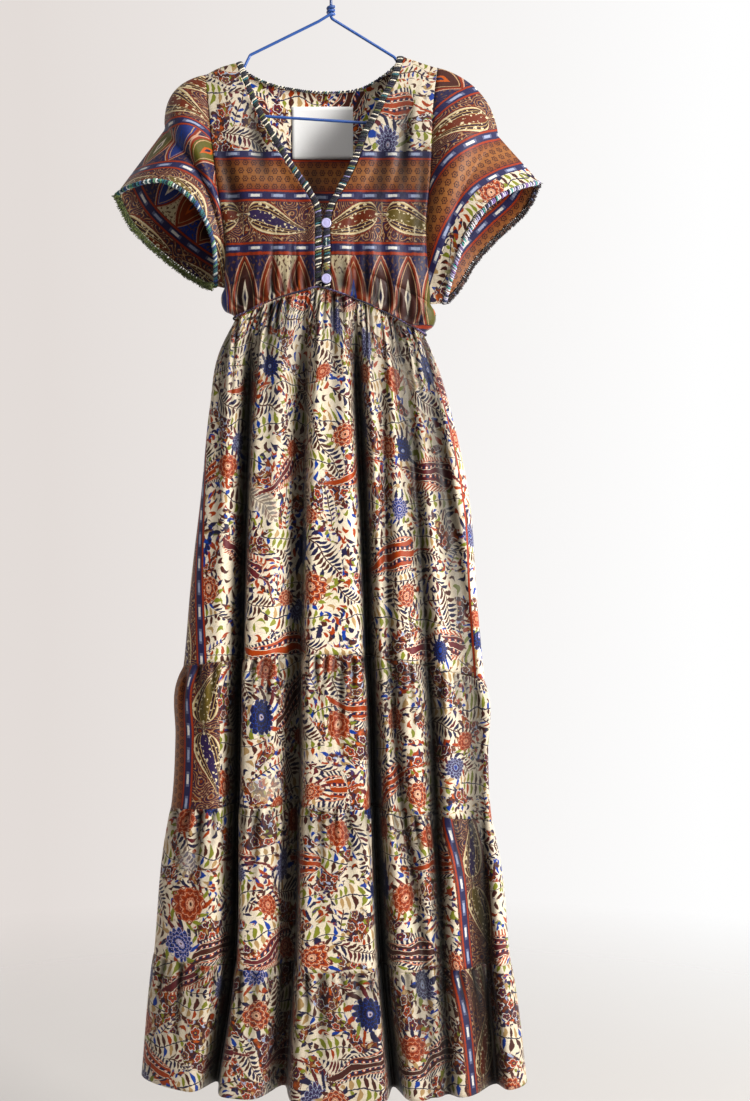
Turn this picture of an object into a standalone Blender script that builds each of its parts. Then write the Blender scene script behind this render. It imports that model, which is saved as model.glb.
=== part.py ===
"""A maxi dress with flutter sleeves and a tiered skirt, hanging on a wire hanger.

Metres, +Z up. X runs across the dress, -Y is its front and +Y its back. The origin is
the inner top of the hanger's hook, where a nail or a rail carries it. The tables hold
millimetres.
"""

import math
from collections import namedtuple

import bpy
import numpy as np

MM = 0.001

# Cloth and seams
WALL = 1.2 * MM
GAP = 0.3 * MM
HALF_GAP = GAP / 2
WAIST_HALF_GAP = 0.3 * MM

# Skirt panels: columns across the front and the back, two to a gather
FRONT_COLUMNS = 56
BACK_COLUMNS = 36
FRONT_GATHERS = FRONT_COLUMNS // 2
BACK_GATHERS = BACK_COLUMNS // 2
TIERS = 4
FIRST_TIER_ROWS = (0.0, 0.03, 0.1, 0.3, 0.62, 1.0)
LOWER_TIER_ROWS = (0.0, 0.08, 0.4, 1.0)
GATHER = 2.0 * MM
GATHER_RISE = 8 * MM
GATHER_FADE = 55 * MM
PUFF = 3.0 * MM
PUFF_FADE = 60 * MM
SECTION_SAMPLES = 900
SECTION_FULLNESS = 0.7
SHARPEST_MITRE = 0.6

# The skirt's outline: a station is 0 at the waist, 1 to 3 at the tier seams, 4 at the hem
Width = namedtuple("Width", "at left right front back")
SKIRT = (
    Width(0.0, -124, 121, 30, 26),
    Width(0.1, -146, 140, 37, 31),
    Width(0.25, -157, 159, 43, 34),
    Width(0.5, -168, 181, 50, 38),
    Width(0.75, -181, 189, 56, 41),
    Width(1.0, -191, 199, 60, 43),
    Width(1.15, -200, 205, 62, 45),
    Width(1.5, -201, 204, 62, 45),
    Width(2.0, -207, 209, 64, 47),
    Width(2.3, -217, 220, 67, 49),
    Width(3.0, -229, 233, 68, 51),
    Width(3.3, -235, 241, 71, 53),
    Width(4.0, -245, 254, 72, 54),
)

# Heights of the waist seam, the tier seams and the hem; peak is where across the front
# each is highest, from -1 at the left to 1 at the right
Seam = namedtuple("Seam", "left front right back peak arch")
SEAMS = (
    Seam(-473, -437, -494, -455, -0.12, 1.3),
    Seam(-923, -905, -942, -925, -0.05, 1.8),
    Seam(-1105, -1098, -1124, -1110, -0.1, 1.8),
    Seam(-1293, -1304, -1306, -1298, 0.0, 2.0),
    Seam(-1450, -1466, -1460, -1455, 0.0, 2.2),
)

# Fold valleys: where they stand across at the waist, the three tier seams and the hem;
# how wide their left and right slopes are; how deep at the waist, the first tier seam and
# the hem; and how far the bottom leans to the right under the next fold
Fold = namedtuple("Fold", "waist seam1 seam2 seam3 hem left right top middle bottom lean")
FRONT_FOLDS = (
    Fold(-104, -121, -127, -131, -154, 14, 11, 5, 34, 50, 8),
    Fold(-33, -43, -46, -52, -63, 24, 11, 5, 36, 55, 3),
    Fold(30, 53, 61, 71, 86, 11, 11, 5, 32, 50, -5),
    Fold(64, 76, 92, 120, 130, 10, 10, 5, 8, 3, 0),
    Fold(93, 124, 134, 143, 150, 13, 12, 5, 14, 12, 0),
    Fold(112, 182, 194, 203, 213, 26, 11, 2, 18, 40, 0),
)
BACK_FOLDS = (
    Fold(-88, -135, -150, -162, -172, 14, 18, 4, 20, 28, 0),
    Fold(-40, -62, -74, -82, -88, 15, 14, 4, 24, 34, -4),
    Fold(8, 7, 4, 0, -4, 18, 13, 4, 18, 30, 3),
    Fold(48, 72, 80, 88, 94, 14, 16, 4, 24, 33, 0),
    Fold(90, 142, 156, 168, 180, 15, 13, 4, 20, 27, 3),
)

# Bodice
ARMHOLE_ROWS = 10
SIDE_FRACTIONS = (0.3, 0.62, 0.9, 1.0)
HALF_COLUMNS = 14
BACK_SHOULDER_COLUMNS = 4
BACK_NECK_COLUMNS = 18
ARMHOLE_HALF_DEPTH = 24 * MM
ARMHOLE_ROUNDNESS = 0.6
CHEST_DEPTH = 31 * MM
CHEST_REACH = 0.75
BLOUSE = 5 * MM
BLOUSE_FROM = 0.72
BODICE_GATHER = 1.6 * MM
BODICE_GATHER_FADE = 35 * MM
SIDE_CROWDING = 0.45
BACK_BULGE = 8 * MM

# Outlines seen from the front, x and z. Each pair of lists is left and right
ARMHOLE = (
    ((-163, -156), (-158.5, -193), (-151, -259), (-143.5, -317), (-136, -374), (-138, -433)),
    ((138, -147), (133.5, -184), (128, -297), (123, -356), (129, -454)),
)
SIDE_SEAM = (
    ((-138, -433), (-143, -446), (-138, -463), (-125.5, -470), (-124, -473)),
    ((129, -454), (136.5, -467), (133, -483), (122.5, -491), (121, -494)),
)
SHOULDER = (
    ((-163, -156), (-146, -147), (-124, -140)),
    ((138, -147), (112, -138.5), (95, -132.5)),
)
# The cloth's edge beside the neck edging, down to the top of the placket
NECK_EDGE = (
    (
        (-124, -140),
        (-112, -173.5),
        (-98, -206),
        (-78.3, -242.5),
        (-57.8, -277.5),
        (-43.6, -298),
        (-29.5, -318.5),
        (-21.5, -334),
        (-20, -354),
        (-20, -385),
    ),
    (
        (95, -132.5),
        (86.4, -164.5),
        (73.2, -190),
        (62.8, -213),
        (48.6, -238.3),
        (37.7, -269),
        (26.9, -294.5),
        (13.5, -318.5),
        (4.5, -336),
        (0.6, -354),
        (0.6, -385),
    ),
)
BACK_NECK = (
    (-124, 0, -140),
    (-119, 6, -144.5),
    (-104, 13, -154),
    (-80, 18, -163.5),
    (-50, 22, -169),
    (-20, 23, -172.5),
    (8, 23, -172.5),
    (38, 22, -168.5),
    (64, 17, -156),
    (82, 11, -143.5),
    (91, 5, -136.5),
    (95, 0, -132.5),
)

# Sleeve hems: from the underarm along the front edge to the tip, and on along the back
SLEEVE_FRONT_HEM = (
    (
        (-147, 0, -431),
        (-149, -23, -374),
        (-174, -38, -324),
        (-210, -40, -302),
        (-254, -25, -304),
        (-277, 0, -308),
    ),
    (
        (144, 0, -453),
        (153, -22, -421),
        (171, -37, -373),
        (201, -40, -331),
        (235, -26, -308),
        (269, 0, -293),
    ),
)
SLEEVE_BACK_HEM = (
    ((-277, 0, -308), (-262, 25, -340), (-218, 39, -383), (-172, 31, -416), (-147, 0, -431)),
    (
        (269, 0, -293),
        (255, 21, -322),
        (217, 36, -357),
        (189, 38, -387),
        (165, 26, -426),
        (144, 0, -453),
    ),
)
SLEEVE_ROWS = (0.0, 0.1, 0.24, 0.4, 0.62, 0.82, 1.0)
# How far the caps stand out, and where down the sleeve they end, left and right
CAP_PUFF = (20 * MM, 20 * MM)
CAP_END = (0.46, 0.6)
CAP_LEAN = 38
CAP_FULLNESS = 0.8

# Edgings and cord
NECK_BAND_WIDTH = 9 * MM
NECK_BAND_THICKNESS = 3.4 * MM
BACK_BAND_WIDTH = 5.4 * MM
BACK_BAND_THICKNESS = 3 * MM
SLEEVE_BAND = 5.2 * MM
CORD = 3 * MM
CORD_POINTS = 62
CORD_CLEARANCE = 0.8 * MM
BAND_ABOVE_WAIST = 3 * MM

# Buttons on the right edge of the placket, from the top
Button = namedtuple("Button", "name z across thick")
BUTTONS = (
    Button("button_1", -356, 13, 3.2),
    Button("button_2", -380, 10, 4.4),
    Button("button_3", -411.5, 10, 4.4),
    Button("button_4", -427, 13, 3.2),
)
BUTTON_X = -5 * MM
BUTTON_CLEARANCE = 0.5 * MM
# How a button rises from its back: shares of its radius and of its thickness
BUTTON_PROFILE = ((0.86, 0.0), (1.0, 0.3), (0.97, 0.62), (0.78, 0.88), (0.4, 1.0))
BUTTON_SIDES = 20

# Label inside the back neck
LABEL_X = (-53 * MM, 28 * MM)
LABEL_Z = (-187.5 * MM, -252.5 * MM)
LABEL_CLEARANCE = 0.5 * MM
LABEL_THICKNESS = 1 * MM

# Hanger
WIRE = 3.8 * MM
WIRE_SIDES = 6
HOOK_RADIUS = 18 * MM
HOOK_TIP_ANGLE = 200
HOOK_STEM_ANGLE = -50
STEM_TOP = -46 * MM
TWIST_START = -78 * MM
TWIST_TURNS = 2.5
TWIST_PITCH = 4.8 * MM
TWIST_CLEARANCE = 0.45 * MM
BEND_STEPS = 4
# The loop of wire from the apex down the right arm and back up the left: x, z and the
# radius of each bend
Corner = namedtuple("Corner", "x z radius")
HANGER_LOOP = (
    Corner(0, -82, 6),
    Corner(82, -132.5, 6),
    Corner(88, -141, 6),
    Corner(199, -209, 9),
    Corner(190, -227.5, 9),
    Corner(-187, -203, 8),
    Corner(-195.5, -187, 8),
    Corner(-116.5, -153.5, 4),
    Corner(-105, -130, 5),
)
LEFT_ARM_TOP = (-16, -2.2, -87)

# Materials: colour, roughness and metallic value
PRINT = (0.33, 0.2, 0.13), 0.6, 0.0
YARN = (0.07, 0.07, 0.12), 0.85, 0.0
GREEN_YARN = (0.2, 0.24, 0.1), 0.9, 0.0
WHITE_CLOTH = (0.8, 0.8, 0.78), 0.8, 0.0
LILAC = (0.55, 0.52, 0.8), 0.25, 0.0
COVERED = (0.05, 0.06, 0.14), 0.6, 0.0
BLUE_WIRE = (0.05, 0.13, 0.38), 0.35, 0.0


def clear_scene():
    for item in list(bpy.data.objects):
        bpy.data.objects.remove(item, do_unlink=True)


def material(name, look):
    """A Principled material from a colour, a roughness and a metallic value."""
    colour, roughness, metallic = look
    made = bpy.data.materials.new(name)
    made.use_nodes = True
    shader = made.node_tree.nodes["Principled BSDF"]
    shader.inputs["Base Color"].default_value = (*colour, 1)
    shader.inputs["Roughness"].default_value = roughness
    shader.inputs["Metallic"].default_value = metallic
    return made


def add(name, points, faces, look):
    """An object of these points and faces, shaded smooth."""
    mesh = bpy.data.meshes.new(name)
    mesh.from_pydata([tuple(p) for p in points], [], faces)
    mesh.update()
    mesh.shade_smooth()
    mesh.materials.append(material(name, look))
    thing = bpy.data.objects.new(name, mesh)
    bpy.context.collection.objects.link(thing)
    return thing


# Curves


def smooth(knots, values, at):
    """A smooth curve through values at the knots, read at these places."""
    knots = np.asarray(knots, float)
    values = np.asarray(values, float)
    at = np.clip(np.asarray(at, float), knots[0], knots[-1])
    slopes = np.gradient(values, knots, axis=0)
    i = np.clip(np.searchsorted(knots, at, side="right") - 1, 0, len(knots) - 2)
    span = knots[i + 1] - knots[i]
    s = (at - knots[i]) / span
    if values.ndim > 1:
        s = s[..., None]
        span = span[..., None]
    start = (1 + 2 * s) * (1 - s) ** 2 * values[i] + s * (1 - s) ** 2 * span * slopes[i]
    end = s * s * (3 - 2 * s) * values[i + 1] + s * s * (s - 1) * span * slopes[i + 1]
    return start + end


def lengths(line):
    """The distance along a line to each of its points."""
    return np.concatenate([[0], np.cumsum(np.linalg.norm(np.diff(line, axis=0), axis=1))])


def along(points, fractions):
    """Points at these fractions of the length of a smooth curve through the points."""
    points = np.asarray(points, float)
    knots = lengths(points)
    line = smooth(knots, points, np.linspace(0, knots[-1], 500))
    done = lengths(line)
    at = np.asarray(fractions) * done[-1]
    return np.stack([np.interp(at, done, column) for column in line.T], axis=-1)


def unit(v):
    return v / np.maximum(np.linalg.norm(v, axis=-1, keepdims=True), 1e-12)


# Solids from grids


def grid_faces(outer, closed, start, flip):
    """Triangles over a grid of points whose first index is start.

    Each square is cut along its shorter diagonal on the outer grid, so that both sides of
    a wall are cut alike and can't cross.
    """
    rows, columns = outer.shape[:2]
    across = columns if closed else columns - 1
    faces = []
    for r in range(rows - 1):
        for c in range(across):
            d = (c + 1) % columns
            down_right = np.linalg.norm(outer[r, c] - outer[r + 1, d])
            down_left = np.linalg.norm(outer[r, d] - outer[r + 1, c])
            top, bottom = start + r * columns, start + (r + 1) * columns
            if down_right < down_left:
                pair = [(top + c, top + d, bottom + d), (top + c, bottom + d, bottom + c)]
            else:
                pair = [(top + c, top + d, bottom + c), (top + d, bottom + d, bottom + c)]
            faces += [face[::-1] if flip else face for face in pair]
    return faces


def shell(name, outer, inner, look, closed=False, flip=False):
    """A thin solid between two grids of points, joined along its rims.

    Seen from outside, rows run down and columns run to the right; flip is for the other way.
    """
    rows, columns = outer.shape[:2]
    count = rows * columns
    faces = grid_faces(outer, closed, 0, not flip)
    faces += grid_faces(outer, closed, count, flip)
    rims = []
    across = columns if closed else columns - 1
    for c in range(across):
        d = (c + 1) % columns
        last = (rows - 1) * columns
        rims.append((c, d, count + d, count + c))
        rims.append((last + d, last + c, count + last + c, count + last + d))
    if not closed:
        for r in range(rows - 1):
            left, below = r * columns, (r + 1) * columns
            right, right_below = left + columns - 1, below + columns - 1
            rims.append((below, left, count + left, count + below))
            rims.append((right, right_below, count + right_below, count + right))
    faces += [rim[::-1] if flip else rim for rim in rims]
    points = np.concatenate([outer.reshape(-1, 3), inner.reshape(-1, 3)])
    return add(name, points, faces, look)


def band(name, centre, across, out, look, width, thickness, sides=8, closed=False):
    """A flattened tube along a line of points, with its flat sides along across."""
    turn = np.arange(sides) * 2 * math.pi / sides
    ring = np.cos(turn)[:, None] * width / 2
    rise = np.sin(turn)[:, None] * thickness / 2
    points = centre[:, None] + ring[None] * across[:, None] + rise[None] * out[:, None]
    count = len(centre)
    faces = []
    for i in range(count if closed else count - 1):
        for k in range(sides):
            a, b = i * sides, (i + 1) % count * sides
            j = (k + 1) % sides
            faces.append((a + k, a + j, b + j, b + k))
    if not closed:
        faces.append(tuple(range(sides))[::-1])
        faces.append(tuple((count - 1) * sides + k for k in range(sides)))
    along_line = centre[1] - centre[0]
    if np.dot(np.cross(across[0], out[0]), along_line) < 0:
        faces = [face[::-1] for face in faces]
    return add(name, points.reshape(-1, 3), faces, look)


# Skirt


def seam_height(seam, q, front):
    """How high a seam runs at q, from -1 at the left side to 1 at the right."""
    top = seam.front if front else seam.back
    side = np.where(q < seam.peak, seam.left, seam.right)
    reach = np.where(q < seam.peak, 1 + seam.peak, 1 - seam.peak)
    return (top + (side - top) * (np.abs(q - seam.peak) / reach) ** seam.arch) * MM


def station_height(at, q, front):
    """The height of a station of the skirt, between the seams above and below it."""
    upper = min(int(at), TIERS - 1)
    part = at - upper
    above = seam_height(SEAMS[upper], q, front)
    below = seam_height(SEAMS[upper + 1], q, front)
    return above * (1 - part) + below * part


def section(at, fractions, front):
    """Points, outward directions and sideways places across one side of the skirt.

    The fractions are of the cloth's length there, from the left side seam to the right.
    """
    stations = [w.at for w in SKIRT]
    left, right, depth = (
        smooth(stations, [getattr(w, key) for w in SKIRT], at) * MM
        for key in ("left", "right", "front" if front else "back")
    )
    angle = np.linspace(math.pi, 0, SECTION_SAMPLES)
    q = np.cos(angle)
    x = (left + right) / 2 + q * (right - left) / 2
    bulge = np.maximum(np.sin(angle), 0)
    y = depth * bulge**SECTION_FULLNESS
    shift = np.zeros(SECTION_SAMPLES)
    for fold in FRONT_FOLDS if front else BACK_FOLDS:
        middle = smooth(range(TIERS + 1), fold[: TIERS + 1], at) * MM
        deep = smooth((0, 1, TIERS), (fold.top, fold.middle, fold.bottom), at) * MM
        reach = np.where(x < middle, fold.left, fold.right) * MM
        valley = np.exp(-(((x - middle) / reach) ** 2)) * bulge**0.5
        y = y - deep * valley
        shift = shift + fold.lean * MM * valley * min(at, 1)
    if front:
        y = -y
    line = np.stack([x + shift, y], axis=1)
    slope = unit(np.gradient(line, axis=0))
    out = np.stack([slope[:, 1], -slope[:, 0]], axis=1)
    if not front:
        out = -out
    done = lengths(line)
    place = np.asarray(fractions) * done[-1]
    point = np.stack([np.interp(place, done, column) for column in line.T], axis=-1)
    out = unit(np.stack([np.interp(place, done, column) for column in out.T], axis=-1))
    out[np.asarray(fractions) <= 0] = (-1, 0)
    out[np.asarray(fractions) >= 1] = (1, 0)
    return point, out, np.interp(place, done, q)


def gather_wave(fractions, count):
    """The small gathers across a panel, uneven in height as hand gathering is."""
    uneven = 0.75 + 0.25 * np.sin(17 * fractions + 1) * np.sin(41 * fractions)
    ends = np.clip(np.minimum(fractions, 1 - fractions) * 12, 0, 1)
    return np.cos(2 * math.pi * count * fractions) * uneven * ends


def skirt_row(at, tier, fractions, front, gathers):
    """One row of a tier's outer points."""
    point, out, q = section(at, fractions, front)
    z = station_height(at, q, front)
    below = station_height(float(tier), q, front) - z
    rise = 1 - np.exp(-below / GATHER_RISE)
    wave = gather_wave(fractions, gathers) * GATHER * np.exp(-below / GATHER_FADE)
    point = point + out * (rise * (PUFF * np.exp(-below / PUFF_FADE) + wave))[:, None]
    return np.column_stack([point, z])


def wall_across(row, front):
    """From each point of a row straight through the wall, further where the row turns."""
    step = unit(np.diff(row[:, :2], axis=0))
    run = unit(step[:-1] + step[1:])
    reach = WALL / np.maximum(np.sum(run * step[:-1], axis=1), SHARPEST_MITRE)
    through = np.stack([-run[:, 1], run[:, 0], 0 * reach], axis=1) * reach[:, None]
    if not front:
        through = -through
    side = np.array([(WALL, 0, 0)])
    return np.concatenate([side, through, -side])


def tier(number, front):
    """One panel of a tier, hanging between its seams."""
    columns = FRONT_COLUMNS if front else BACK_COLUMNS
    gathers = FRONT_GATHERS if front else BACK_GATHERS
    rows = FIRST_TIER_ROWS if number == 0 else LOWER_TIER_ROWS
    fractions = np.linspace(0, 1, columns + 1)
    made = [skirt_row(number + part, number, fractions, front, gathers) for part in rows]
    outer = np.array(made)
    through = np.array([wall_across(row, front) for row in made])
    outer[0, :, 2] -= WAIST_HALF_GAP if number == 0 else HALF_GAP
    outer[-1, :, 2] += HALF_GAP
    outer[:, :, 1] += -HALF_GAP if front else HALF_GAP
    side = "front" if front else "back"
    shell(f"tier_{number + 1}_{side}", outer, outer + through, PRINT, flip=not front)


# Bodice


def armhole_fractions():
    """Places down an armhole, closer together at its two ends."""
    return (1 - np.cos(np.linspace(0, math.pi, ARMHOLE_ROWS + 1))) / 2


def armhole_edge(side):
    """The armhole's points seen from the front, its half depth, and its inward turn.

    The turn is how far the inward direction points to the middle and how far up.
    """
    f = armhole_fractions()
    flat = along(ARMHOLE[side], f) * MM
    half = ARMHOLE_HALF_DEPTH * np.sin(math.pi * f) ** ARMHOLE_ROUNDNESS
    slope = np.gradient(np.stack([half, flat[:, 1]], axis=1), axis=0)
    turn = unit(np.stack([-slope[:, 1], slope[:, 0]], axis=1))
    turn[0] = (0, -1)
    turn[-1] = (0, 1)
    return flat, half, turn


def side_edge(side, front):
    """The outer edge of a bodice panel: armhole, then side seam, with inward directions."""
    flat, half, turn = armhole_edge(side)
    sign = -1 if front else 1
    seam = along(SIDE_SEAM[side], SIDE_FRACTIONS) * MM
    x = np.concatenate([flat[:, 0], seam[:, 0]])
    y = np.concatenate([sign * half, np.zeros(len(seam))])
    z = np.concatenate([flat[:, 1], seam[:, 1]])
    edge = np.stack([x, y, z], axis=1)
    inward = np.zeros_like(edge)
    count = ARMHOLE_ROWS + 1
    inward[:count, 1] = -sign * turn[:, 0]
    inward[:count, 2] = turn[:, 1]
    inward[count - 1 :] = (1 if side == 0 else -1, 0, 0)
    return edge, inward


def waist_points(x, front):
    """Points on the waist seam at these places across, with outward directions."""
    point, out, q = section(0.0, np.linspace(0, 1, SECTION_SAMPLES), front)
    z = seam_height(SEAMS[0], q, front)
    y, z = np.interp(x, point[:, 0], point[:, 1]), np.interp(x, point[:, 0], z)
    turned = unit(np.stack([np.interp(x, point[:, 0], column) for column in out.T], axis=-1))
    return np.stack([x, y, z], axis=1), np.column_stack([turned, np.zeros(len(x))])


def coons(top, bottom, left, right, across, down):
    """A surface that fills the four edges; across and down are its own even places."""
    p = across[None, :, None]
    w = down[:, None, None]
    sides = (1 - p) * left[:, None] + p * right[:, None]
    ends = (1 - w) * top[None] + w * bottom[None]
    corners = (1 - w) * ((1 - p) * top[0] + p * top[-1])
    corners = corners + w * ((1 - p) * bottom[0] + p * bottom[-1])
    return sides + ends - corners


def inward_of(points, sign):
    """The inward directions over a grid of points."""
    normal = np.cross(np.gradient(points, axis=1), np.gradient(points, axis=0))
    return unit(normal) * sign


def bodice_swell(surface, down, across, front, gathers):
    """Blousing over the waist seam, and the gathers that fade upward from it."""
    lift = np.clip((down - BLOUSE_FROM) / (1 - BLOUSE_FROM), 0, 1)
    blouse = BLOUSE * np.sin(math.pi * lift) ** 1.2
    above = surface[:, :, 2] - surface[-1:, :, 2]
    wave = gather_wave(across, gathers)[None] * BODICE_GATHER
    wave = wave * (1 - np.exp(-above / GATHER_RISE)) * np.exp(-above / BODICE_GATHER_FADE)
    rounding = np.clip(np.minimum(across, 1 - across) * 8, 0, 1)
    sign = -1 if front else 1
    surface[:, :, 1] += sign * (blouse[:, None] * rounding[None] + wave)


def front_panel(side):
    """The grid of a front bodice panel, from its side to its centre edge."""
    left, inward_side = side_edge(side, True)
    down = (left[:, 2] - left[0, 2]) / (left[-1, 2] - left[0, 2])
    neck = np.array(NECK_EDGE[side]) * MM
    bottom_x = neck[-1, 0]
    waist_end, _ = waist_points(np.array([bottom_x]), True)
    centre = along(np.vstack([neck, (bottom_x, waist_end[0, 2])]), down)
    chest = np.sin(math.pi / 2 * np.clip(down / CHEST_REACH, 0, 1)) ** ARMHOLE_ROUNDNESS
    depth = CHEST_DEPTH * chest
    depth = depth + (-waist_end[0, 1] - depth) * np.clip((down - 0.8) / 0.2, 0, 1)
    right = np.stack([centre[:, 0], -depth, centre[:, 1]], axis=1)
    step = np.linspace(0, 1, HALF_COLUMNS + 1)
    across = (1 - SIDE_CROWDING) * step + SIDE_CROWDING * (1 - np.cos(math.pi / 2 * step))
    shoulder = along(SHOULDER[side], across) * MM
    top = np.stack([shoulder[:, 0], np.zeros(len(across)), shoulder[:, 1]], axis=1)
    waist_x = left[-1, 0] + across * (bottom_x - left[-1, 0])
    bottom, waist_out = waist_points(waist_x, True)
    bottom[0] = left[-1]
    surface = coons(top, bottom, left, right, across, down)
    bodice_swell(surface, down, across * 0.93, True, HALF_COLUMNS / 2 / 0.93)
    inward = inward_of(surface, 1 if side == 0 else -1)
    inward[:, -1, 0] = 0
    inward[:, -1] = unit(inward[:, -1])
    inward[-1] = -waist_out
    inward[:, 0] = inward_side
    inward[0] = (0, 0, -1)
    surface[-1, :, 2] += WAIST_HALF_GAP
    surface[:, :, 1] -= HALF_GAP
    return surface, inward


def back_panel():
    """The grid of the back bodice panel, from the left to the right seen from the front."""
    left, inward_left = side_edge(0, False)
    right, inward_right = side_edge(1, False)
    down = (left[:, 2] - left[0, 2]) / (left[-1, 2] - left[0, 2])
    shoulder_step = np.linspace(0, 1, BACK_SHOULDER_COLUMNS + 1)
    flat_left = along(SHOULDER[0], shoulder_step)
    flat_right = along(SHOULDER[1], shoulder_step)[::-1]
    neck = along(BACK_NECK, np.linspace(0, 1, BACK_NECK_COLUMNS + 1))
    lift = [np.stack([f[:, 0], 0 * f[:, 0], f[:, 1]], axis=1) for f in (flat_left, flat_right)]
    top = np.concatenate([lift[0], neck[1:-1], lift[1]]) * MM
    across = lengths(top[:, [0, 2]])
    across = across / across[-1]
    waist_x = left[-1, 0] + across * (right[-1, 0] - left[-1, 0])
    bottom, waist_out = waist_points(waist_x, False)
    bottom[0], bottom[-1] = left[-1], right[-1]
    surface = coons(top, bottom, left, right, across, down)
    bulge = np.sin(math.pi * across)[None] * np.sin(math.pi * down)[:, None]
    surface[:, :, 1] += BACK_BULGE * bulge
    bodice_swell(surface, down, across, False, (len(across) - 1) / 2)
    inward = inward_of(surface, -1)
    inward[-1] = -waist_out
    inward[:, 0] = inward_left
    inward[:, -1] = inward_right
    shoulders = [*range(BACK_SHOULDER_COLUMNS + 1), *range(-BACK_SHOULDER_COLUMNS - 1, 0)]
    inward[0, shoulders] = (0, 0, -1)
    surface[-1, :, 2] += WAIST_HALF_GAP
    surface[:, :, 1] += HALF_GAP
    return surface, inward


def bodice():
    """The three bodice panels; returns the grids that the edgings and label follow."""
    fronts = [front_panel(0), front_panel(1)]
    for name, (surface, inward), flip in (
        ("bodice_front_left", fronts[0], False),
        ("bodice_front_right", fronts[1], True),
    ):
        shell(name, surface, surface + inward * WALL, PRINT, flip=flip)
    surface, inward = back_panel()
    shell("bodice_back", surface, surface + inward * WALL, PRINT, flip=True)
    return fronts, (surface, inward)


# Sleeves


def sleeve(name, side):
    """A sleeve from its armhole to its wide hem, with its yarn edging."""
    flat, half, turn = armhole_edge(side)
    outward = -1 if side == 0 else 1
    f = armhole_fractions()
    front = np.stack([flat[:, 0], -half, flat[:, 1]], axis=1)[::-1]
    back = np.stack([flat[:, 0], half, flat[:, 1]], axis=1)[1:-1]
    hole = np.concatenate([front, back])
    hole[:, 0] += outward * GAP
    zero = np.zeros(len(f))
    turn_front = np.stack([zero, turn[:, 0], turn[:, 1]], axis=1)[::-1]
    turn_back = np.stack([zero, -turn[:, 0], turn[:, 1]], axis=1)[1:-1]
    hole_inward = np.concatenate([turn_front, turn_back])
    hem_front = along(SLEEVE_FRONT_HEM[side], f) * MM
    hem_back = along(SLEEVE_BACK_HEM[side], f)[1:-1] * MM
    hem = np.concatenate([hem_front, hem_back])
    around = np.concatenate([f - 1, f[1:-1]]) * math.pi
    lean = math.radians(CAP_LEAN)
    up = np.array((outward * math.cos(lean), 0, math.sin(lean)))
    puff = np.cos(around)[:, None] * up
    puff[:, 1] = np.sin(around)
    weight = np.cos(around / 2) ** 2
    rows = []
    for t in SLEEVE_ROWS:
        swell = CAP_PUFF[side] * math.sin(math.pi * min(t / CAP_END[side], 1)) ** CAP_FULLNESS
        rows.append((1 - t) * hole + t * hem + puff * (weight * swell)[:, None])
    surface = np.array(rows)
    wrapped = np.concatenate([surface[:, -1:], surface, surface[:, :1]], axis=1)
    inward = inward_of(wrapped, outward)[:, 1:-1]
    inward[0] = hole_inward
    shell(name, surface, surface + inward * WALL, PRINT, closed=True, flip=side == 0)
    down = unit(surface[-1] - surface[-2])
    centre = surface[-1] + inward[-1] * WALL / 2 + down * (SLEEVE_BAND / 2 + GAP)
    band(
        name.replace("sleeve", "sleeve_edging"),
        centre,
        down,
        -inward[-1],
        GREEN_YARN,
        SLEEVE_BAND,
        SLEEVE_BAND,
        closed=True,
    )


# Edgings, cord, buttons and label


def edge_frame(edge, inward, toward):
    """Where a band beside a panel's edge lies: which way is across it and which is out."""
    run = unit(np.gradient(edge, axis=0))
    across = unit(np.cross(run, inward))
    across = across * np.sign(np.sum(across * toward, axis=1))[:, None]
    return across, unit(-inward)


def neck_edging(fronts, back):
    """The yarn bands beside the V neck and placket, and the one along the back neck."""
    for name, (surface, inward), way in (
        ("neck_edging_left", fronts[0], 1),
        ("neck_edging_right", fronts[1], -1),
    ):
        edge = surface[:, -1].copy()
        edge[-1, 2] += BAND_ABOVE_WAIST
        across, out = edge_frame(edge, inward[:, -1], np.array((way, 0, 0.2)))
        across[0], out[0] = (way, 0, 0), (0, 0, 1)
        centre = edge + across * (NECK_BAND_WIDTH / 2 + GAP) - out * WALL / 2
        band(name, centre, across, out, YARN, NECK_BAND_WIDTH, NECK_BAND_THICKNESS)
    surface, inward = back
    first = BACK_SHOULDER_COLUMNS
    edge = surface[0, first : first + BACK_NECK_COLUMNS + 1].copy()
    turned = inward[0, first : first + BACK_NECK_COLUMNS + 1]
    across, out = edge_frame(edge, turned, np.array((0, 0, 1)))
    across[0], across[-1] = (1, 0, 0), (-1, 0, 0)
    out[0] = out[-1] = (0, 0, 1)
    centre = edge + across * (BACK_BAND_WIDTH / 2 + GAP) - out * WALL / 2
    band("neck_edging_back", centre, across, out, YARN, BACK_BAND_WIDTH, BACK_BAND_THICKNESS)


def waist_cord():
    """The cord that lies over the waist seam, all round."""
    ahead = np.linspace(0, 1, CORD_POINTS // 2 + 1)
    rows = []
    for front in (True, False):
        point, out, q = section(0.0, ahead, front)
        z = seam_height(SEAMS[0], q, front)
        point = point + out * (CORD / 2 + CORD_CLEARANCE)
        row = np.column_stack([point, z])
        turned = np.column_stack([out, np.zeros(len(out))])
        rows.append((row, turned) if front else (row[::-1], turned[::-1]))
    centre = np.concatenate([row[:-1] for row, _ in rows])
    out = np.concatenate([turned[:-1] for _, turned in rows])
    up = np.tile((0.0, 0.0, 1.0), (len(centre), 1))
    band("waist_cord", centre, up, out, YARN, CORD, CORD, sides=6, closed=True)


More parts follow.
